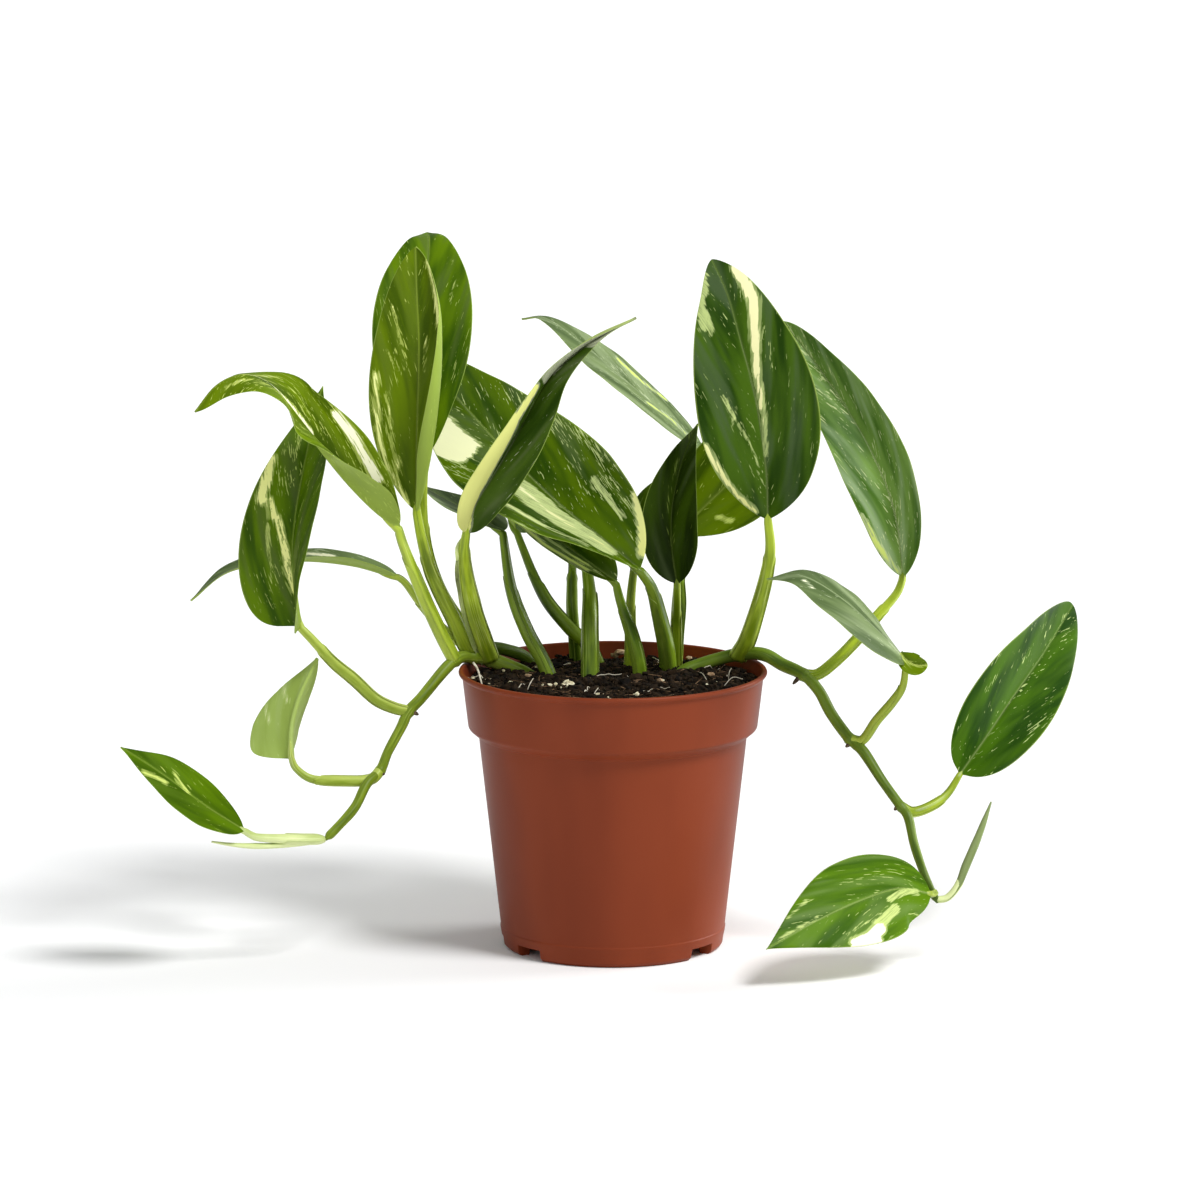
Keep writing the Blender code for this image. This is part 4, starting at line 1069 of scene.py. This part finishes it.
def facing(azimuth, elevation):
    """A direction: azimuth 0 looks to the front (-Y) and turns towards +X, elevation lifts it."""
    a, e = radians(azimuth), radians(elevation)
    return np.array([sin(a) * cos(e), -cos(a) * cos(e), sin(e)])


def cross_section(side, s, fold0, fold1, curl0=0, curl1=0):
    """Sideways and upward reach of the place r = side: the mean of cosine and sine of an angle that
    starts at the fold and grows with the curl as t ** 1.5, where t runs from the midrib to r."""
    t = np.abs(side)[None, :, None] * ((np.arange(16) + 0.5) / 16)
    start = np.radians(fold0 + (fold1 - fold0) * s)[:, None, None]
    curl = np.radians(curl0 + (curl1 - curl0) * s)[:, None, None]
    turn = start + curl * t ** 1.5
    return np.cos(turn).mean(axis=-1) * side, np.sin(turn).mean(axis=-1) * np.abs(side)


def blade_length(shape):
    """The length of the curve along the midrib."""
    return length_of(through(shape["path"], MIDRIB_STATIONS))


def midrib(shape, s):
    """Place, sideways direction and upper direction of a blade at the stations s."""
    even = np.linspace(0.0, 1.0, MIDRIB_STATIONS)
    line = through(shape["path"], MIDRIB_STATIONS)
    along = unit(np.gradient(line, axis=0))
    base, tip = (facing(*angles) for angles in shape["face"])
    look = base * (1 - even[:, None]) + tip * even[:, None]
    look = unit(look - (look * along).sum(axis=1, keepdims=True) * along)
    right = np.cross(along, look)
    return at(s, even, line), unit(at(s, even, right)), unit(at(s, even, look))


def depth_inside(strokes, x, y, reach_at, length):
    """How deep each place lies inside the nearest stroke, in millimetres on the flattened blade."""
    best = np.full(x.shape, -20.0)
    for half, *places in strokes:
        s, r = np.array(places).T / 100
        px, py = r * reach_at(s), s * length
        for ax, ay, bx, by in zip(px[:-1], py[:-1], px[1:], py[1:]):
            dx, dy = bx - ax, by - ay
            t = np.clip(((x - ax) * dx + (y - ay) * dy) / (dx * dx + dy * dy + 1e-9), 0.0, 1.0)
            gap = np.hypot(x - ax - t * dx, y - ay - t * dy)
            best = np.maximum(best, half - gap)
    return best


# stations across, closer at the midrib and the margins, and along, closer at base and tip
SIDE = np.concatenate([[0.012, 0.03, 0.06], np.linspace(0.11, 0.94, 15), [0.972, 0.99, 1.0]])
ACROSS = np.concatenate([-SIDE[::-1], [0.0], SIDE])
ROWS = 0.5 - 0.5 * np.cos(pi * (0.06 + 0.94 * np.linspace(0, 1, 112) ** 0.92))
ROWS = (ROWS - ROWS[0]) / (ROWS[-1] - ROWS[0])
print("grid of a blade:", len(ROWS), "by", 2 * len(ACROSS) - 2)


# %% Make the blades
def blade_sides(shape, number, x, y, vein):
    """The upper and the lower side at places of the flattened blade, x across and y along. They lie
    on both sides of a bent sheet, at a distance along its normal."""
    s, r = ROWS[:, None], ACROSS[None]
    spine, right, look = midrib(shape, ROWS)
    left_half = cross_section(ACROSS[ACROSS < 0], ROWS, *shape["left"])
    right_half = cross_section(ACROSS[ACROSS >= 0], ROWS, *shape["right"])
    out, up = (np.hstack(halves)[..., None] for halves in zip(left_half, right_half))
    reach = reach_of(shape, s)[..., None]
    sheet = spine[:, None] + reach * (out * right[:, None] + up * look[:, None])

    normal = unit(np.cross(np.gradient(sheet, axis=1), np.gradient(sheet, axis=0)))
    body = np.sin(pi * s) ** 0.5
    wave = MARGIN_WAVE * np.abs(r) ** 3 * wander(y / 13 + np.sign(x) * 4, 200 + number) * body
    quilt = (QUILT_HEIGHT * np.sin(2 * pi * vein / VEIN_SPACING) * ease(np.abs(r), 0.05, 0.3)
             * (1 - ease(np.abs(r), 0.8, 1)))
    sheet = sheet + normal * (wave + quilt)[..., None]

    plump = THICKNESS * np.sqrt(np.clip(1 - np.abs(r) ** 8, 0, 1))
    channel = -CHANNEL_DEPTH * np.exp(-(x / 0.7) ** 2) * body * (1 - 0.6 * s)
    ridge = (0.30 + 0.75 * (1 - s) ** 1.5) * np.exp(-(x / 0.95) ** 2)
    return (sheet + normal * (plump / 2 + channel)[..., None],
            sheet - normal * (plump / 2 + ridge)[..., None])


def around_margin(upper, lower):
    """Across the upper side and back across the lower one, whose margins are those of the upper."""
    return np.concatenate([upper, lower[:, -2:0:-1]], axis=1)


def with_poles(values):
    """Values for each point of a blade's grid and its two poles, which lie on the midrib."""
    loop = around_margin(values, values)
    flat = loop.reshape(-1, *values.shape[2:])
    middle = len(ACROSS) // 2
    return np.concatenate([flat, flat[[middle, middle - loop.shape[1]]]])


def blade(key, number, in_solid_model=True):
    """One leaf blade; its number moves its pattern and the waves of its margin. `vein` is how far up
    the midrib the side vein starts that passes a place."""
    name, shape = "leaf_" + key, BLADES[key]
    s, r = ROWS[:, None], ACROSS[None]
    length = blade_length(shape)
    x, y = r * reach_of(shape, s), s * length
    share = np.abs(x) / (shape["width"] / 2)
    vein = y - shape["width"] / 2 * (2.2 * share + share ** 2)

    def inside(strokes):
        return depth_inside(strokes.get(key, []), x, y,
                            lambda where: np.maximum(half_width(shape, where), 0.4), length)

    tone, splash, flecks = TONES[key]
    marks = {
        "patch": inside(PATCHES),
        "sage": inside(PALE_GREENS),
        "fleck": flecks + 0.55 * ease(inside(SPECKLES), -2, 3),
        "ragged": RAGGED.get(key, 1.0),
        "ripe": RIPE.get(key, 0.0) * (1 - s) ** 1.5,
        "rib": np.exp(-(x / 0.4) ** 2) * (1 - 0.5 * s),
        "edge": ease(np.abs(r), 0.975, 0.999),
    }
    marks = {layer: with_poles(values * np.ones_like(x)) for layer, values in marks.items()}
    # each blade and each of its halves has a place of its own in the pattern
    step = 5.0 * np.sign(x) * ease(np.abs(x), 0.0, 0.5)
    veins = np.stack([0.034 * vein + 7.31 * number, 0.29 * x + step + 3.17 * number], axis=-1)

    under = np.tile(np.arange(2 * len(ACROSS) - 2) >= len(ACROSS) - 1, len(ROWS) - 1)
    mesh = grid_mesh(name + "_blade", around_margin(*blade_sides(shape, number, x, y, vein)),
                     [skin_of(tone, splash, False), skin_of(tone, splash, True)],
                     uv={"vein": with_poles(veins)}, marks=marks, second=under)
    return place(mesh, "blade", *([name] if in_solid_model else []))


for number, key in enumerate(TONES):
    blade(key, number)
print("blades of the solid model:", len(TONES))

# %% A small lobe at the foot of the drooping leaf
TONES["right_lobe"] = ("fresh", "lime", 0.3)
BLADES["right_lobe"] = leaf(
    [(110.5, -17, 118.5), (113, -18.5, 116), (116.5, -20, 114.2), (121, -21, 114.5)],
    9, ((5, 20), (5, 28)), (10, 10), widest=0.5, ends=(0.6, 0.5))
blade("right_lobe", len(TONES), in_solid_model=False)
print("blades:", len(TONES))

# %% [markdown]
# ## Stems and stalks
# A stem thickens into a ring at each node, where a leaf stalk is attached. A stalk is round behind and
# grooved in front, and the lower part of it is wrapped by a sheath whose two pale edges stand up like
# narrow wings and end in a point short of the blade. Its upper end runs on under the midrib.

# %% Stems with their nodes
def make_stems():
    """Every node is a ring that is 16 per cent thicker, with a slight waist above it."""
    for number, (name, (points, radii)) in enumerate(STEMS.items()):
        count = int(length_of(points) / 0.9)
        line = through(points, count)
        far = np.linspace(0, length_of(line), count)
        radius = spread(radii, count) * (1 + 0.05 * wander(far / 7, 300 + number))
        for route, _, grows_from in STALKS.values():
            if grows_from == name:
                node = far[np.argmin(np.linalg.norm(line - route[0], axis=1))]
                radius = radius * (1 + 0.16 * np.exp(-((far - node) / 1.0) ** 2)
                                   - 0.06 * np.exp(-((far - node - 2.4) / 0.9) ** 2))
        radius = radius * (0.35 + 0.65 * ease(far[-1] - far, 0.0, 2.5))
        skin = LEFT_STEM_SKIN if name == "stem_left" else STEM_SKIN
        swept_piece(name + "_bark", "stem", skin, line, radius, name, seed=number, sides=28)


make_stems()
print("stems:", len(STEMS))

# %% Stalks
STALK_LOOKS = {     # skin, how far up the sheath goes, and the height of its wings (left, right)
    "left_back_tall": ("juicy", 0.70, 0.35), "left_front_tall": ("juicy", 0.72, 0.4),
    "left_arching": ("juicy", 0.75, 0.4), "left_upright": ("light", 0.78, 0.4),
    "left_back_thin": ("fresh", 0.6, 0.3), "left_pale": ("light", 0.62, 0.3),
    "left_end": ("pale", 0.5, 0.25), "middle_large": ("dark", 0.78, 0.5),
    "middle_low": ("dark", 0.7, 0.4), "middle_folded": ("juicy", 0.88, 2.4, 0.5),
    "back_thin": ("fresh", 0.6, 0.3), "middle_dark": ("fresh", 0.7, 0.4),
    "middle_behind": ("dark", 0.7, 0.4), "back_small": ("fresh", 0.6, 0.3),
    "middle_grey": ("dark", 0.7, 0.4), "back_left": ("dark", 0.7, 0.4),
    "back_middle": ("dark", 0.7, 0.4), "back_right": ("dark", 0.7, 0.4),
    "right_tall": ("juicy", 0.75, 0.4), "right_arching": ("juicy", 0.75, 0.4),
    "right_drooping": ("fresh", 0.7, 0.3), "right_upright": ("fresh", 0.6, 0.3),
    "right_end": ("light", 0.0, 0.0),
}


def groove(turn):
    """A round section with a shallow channel in front, where turn is near 0."""
    away = np.minimum(turn, 2 * pi - turn)
    return (1 - 0.16 * np.exp(-(away / 0.45) ** 2))[None]


def stalk_line(key):
    """The stalk's way and its radii, carried on for 7.5 mm under the blade's midrib, and the
    direction that its channel faces."""
    (points, radii, _), shape = STALKS[key], BLADES[key]
    count = max(24, int(length_of(points) / 1.3))
    line, radius = through(points, count), spread(radii, count)
    if key == "left_end":           # the one foot that is in full view is rounded off
        radius[:4] *= (0.45, 0.78, 0.93, 0.99)
    spine, _, look = midrib(shape, np.array([1.5, 3.0, 4.5, 6.0, 7.5]) / blade_length(shape))
    sunk = np.array([0.75, 0.85, 0.85, 0.75, 0.6])[:, None]
    thinning = np.array([0.86, 0.72, 0.58, 0.44, 0.28])
    line = np.vstack([line[:-1], spine - look * sunk])
    radius = np.concatenate([radius[:-1], radii[-1] * thinning])
    return line, radius, facing(*shape["face"][0])


def make_stalks():
    """Each stalk is its line with its radii and the grooved section."""
    for number, (key, (skin, *_)) in enumerate(STALK_LOOKS.items()):
        line, radius, front = stalk_line(key)
        swept_piece(f"stalk_{key}_skin", "stalk", STALK_SKINS[skin], line, radius, "stalk_" + key,
                    seed=20 + number, front=front, ring=groove)


make_stalks()
print("stalks:", len(STALK_LOOKS))


# %% Sheaths around the stalks
def make_sheath(key, number, skin, end, wing_left, wing_right):
    """A thin open wrap around the back of a stalk, from its foot to the share `end` of its length.
    q runs from one edge (-1) to the other (1); beyond |q| = 0.7 the wrap leaves the stalk and stands
    out from it as a wing."""
    line, radius, front = stalk_line(key)
    count = max(int(len(line) * end), 10)
    line, radius = line[:count], radius[:count]
    tangent, front = fronts(line, front)
    q = np.linspace(-1, 1, 33)
    s = np.linspace(0, 1, count)[:, None]
    wing = np.where(q < 0, wing_left, wing_right) * ease(np.abs(q), 0.66, 1.0)
    wing = wing * (0.35 + 0.65 * ease(s, 0.0, 0.25)) * (1 - ease(s, 0.78, 1.0)) ** 0.5
    wing = wing * (1 + 0.12 * wander(s * 9 + np.sign(q), 400 + number))
    away = radians(118) * np.clip(np.abs(q) / 0.7, 0, 1) * (1 - 0.75 * ease(s, 0.86, 1.0))
    turn = pi - np.sign(q) * away
    thick = 1 - 0.5 * ease(np.abs(q), 0.7, 1.0)
    outer, inner = (around(line, radius[:, None] * 1.02 + 0.04 + layer * thick + wing, turn, front,
                           np.cross(tangent, front)) for layer in (0.18, 0.0))

    loop = np.concatenate([q, q[::-1]])
    layer = bark_layer(line, loop * radius.max() / 5 + 2.3 * number)
    # the mark `side` paints the same highlight on the flanks of the sheath
    side = np.append(np.sin(np.concatenate([turn, turn[:, ::-1]], axis=1)) ** 2, [0, 0])
    edge = np.minimum(np.abs(loop), np.roll(np.abs(loop), -1)) > (0.72 if wing_left > 1 else 0.90)
    mesh = grid_mesh(f"stalk_{key}_sheath", np.concatenate([outer, inner[:, ::-1]], axis=1),
                     [skin, SHEATH_SKIN], uv={"bark": layer}, marks={"side": side},
                     second=np.tile(edge, count - 1))
    return place(mesh, "stalk")


for number, (key, (skin, end, *wings)) in enumerate(STALK_LOOKS.items()):
    if end > 0:
        make_sheath(key, number, STALK_SKINS[skin], end, wings[0], wings[-1])
print("sheaths ready")

# %% [markdown]
# Two pieces have no blade yet. On the right stem a new leaf is still rolled into a spear: its section
# is a spiral, so one margin shows as a step that winds up the spear. At the end of the left stem
# there is only a pointed sheath. Some nodes also carry the short brown peg of an aerial root that
# has stopped growing; a peg is one more tube along a line, with a rounded end.


# %% The rolled leaf and the last sheath
def spiral(turn):
    """A section whose distance grows once around, leaving a step at turn 0."""
    return (0.90 + 0.17 * turn / (2 * pi))[None]


def make_spears():
    """The rolled leaf, the pale collar around its foot, and the empty sheath."""
    points, radii, _ = STALKS["right_rolled"]
    line, radius, front = through(points, 60), 0.84 * spread(radii, 60), (0.9, -0.5, 0.2)
    swept_piece("leaf_right_rolled_spear", "stalk", STALK_SKINS["spear"], line, radius,
                "leaf_right_rolled", seed=61, front=front, sides=40, ring=spiral)
    swept_piece("leaf_right_rolled_collar", "stalk", STALK_SKINS["pale"], line[:17],
                radius[:17] * np.linspace(1.25, 1.03, 17), seed=63, front=front, ring=groove)
    points, radii = LAST_SHEATH
    swept_piece("sheath_left_end_skin", "stalk", STALK_SKINS["pale"], through(points, 40),
                spread(radii, 40), "sheath_left_end", seed=62, front=(0, -0.3, 1), ring=groove)


make_spears()
print("spears ready")


# %% Aerial root nubs
NUBS = [        # where each leaves the stem, and the place that it points at
    ((73.6, 4.2, 106.2), (67.6, 1.5, 100.2)), ((92.9, -4.6, 81.2), (88.6, -6.5, 78.0)),
    ((110.8, -19.8, 59.3), (107.2, -21.5, 56.4)), ((-78.7, -8.8, 94.4), (-73.0, -11.0, 92.0)),
    ((-90.3, -16.3, 71.6), (-87.0, -18.5, 70.4))]


def make_nubs():
    """Short brown pegs with rounded ends at some nodes of the two long stems, which stop at 0.62 of
    the way to the place that they point at."""
    for number, (start, end) in enumerate(NUBS):
        t = 0.62 * np.linspace(0, 1, 14)[:, None]
        route = np.array(start) * (1 - t) + np.array(end) * t
        radius = 0.95 * np.sqrt(np.clip(1 - np.linspace(0, 0.985, 14) ** 3, 0, 1))
        swept_piece(f"root_nub_{number + 1}", "stem", HUSK, route, radius, seed=number,
                    front=(0.2, 0.3, 1), sides=14)


make_nubs()
print("root nubs ready")

# %% [markdown]
# ## Floor, light and camera
# The plant stands on a white table in a white room. The key light comes from the upper right and in
# front and is fairly soft, so the shadows fall back and to the left. A very broad weak light lies low
# in front on the left, and a low one on the right rounds off that side of the pot and the stalks. The
# room fills the rest; it is a little blue, to balance the warm light that the pot throws back. The
# table is matte, and the room looks brighter to the camera than the light it gives, so that both stay
# plain white.

# %% Floor
def make_floor():
    """A matte white square so wide that its edges are out of sight."""
    make = Recipe("white table")
    done = make.done(Base_Color=(0.93, 0.93, 0.93), Roughness=0.9, Specular_IOR_Level=0.1)
    bpy.ops.mesh.primitive_plane_add(size=60.0, location=(0, 20, 0))
    floor = bpy.context.object
    floor.name = "table_top"
    floor.data.materials.append(done)


make_floor()
print("table laid")


# %% Lights and surroundings
def sun(name, towards, strength, softness):
    """A far lamp that shines from the direction `towards`; softness is its apparent size in degrees."""
    light = bpy.data.lights.new(name, "SUN")
    light.energy, light.angle = strength, radians(softness)
    lamp = bpy.data.objects.new(name, light)
    bpy.context.scene.collection.objects.link(lamp)
    x, y, z = towards
    lamp.rotation_euler = (np.arctan2(np.hypot(x, y), z), 0, np.arctan2(x, -y))


sun("key light", (0.46, -0.37, 0.81), 2.45, 18.0)
sun("front light", (-0.35, -0.85, 0.38), 0.40, 60.0)
sun("side light", (0.90, 0.32, 0.30), 2.4, 28.0)


def white_room(light, seen, tint):
    """Surroundings that give `light` but look as bright as `seen` to the camera."""
    world = bpy.data.worlds.new("white room")
    bpy.context.scene.world = world
    world.use_nodes = True
    nodes, links = world.node_tree.nodes, world.node_tree.links
    strength = nodes.new("ShaderNodeMapRange")
    strength.inputs["To Min"].default_value = light
    strength.inputs["To Max"].default_value = seen
    links.new(nodes.new("ShaderNodeLightPath").outputs["Is Camera Ray"], strength.inputs["Value"])
    links.new(strength.outputs[0], nodes["Background"].inputs["Strength"])
    nodes["Background"].inputs["Color"].default_value = (*tint, 1)


white_room(0.40, 1.06, (0.965, 0.98, 1))
bpy.context.scene.view_settings.view_transform = "Standard"
print("lamps and room ready")

# %% Camera
lens = bpy.data.cameras.new("camera")
lens.lens, lens.sensor_width, lens.clip_end = 196.9, 36.0, 100.0
camera = bpy.data.objects.new("camera", lens)
camera.location = (-0.005, -2.5, 0.593)
camera.rotation_euler = (radians(79.645), 0, 0)
bpy.context.scene.collection.objects.link(camera)
bpy.context.scene.camera = camera
print("camera ready")
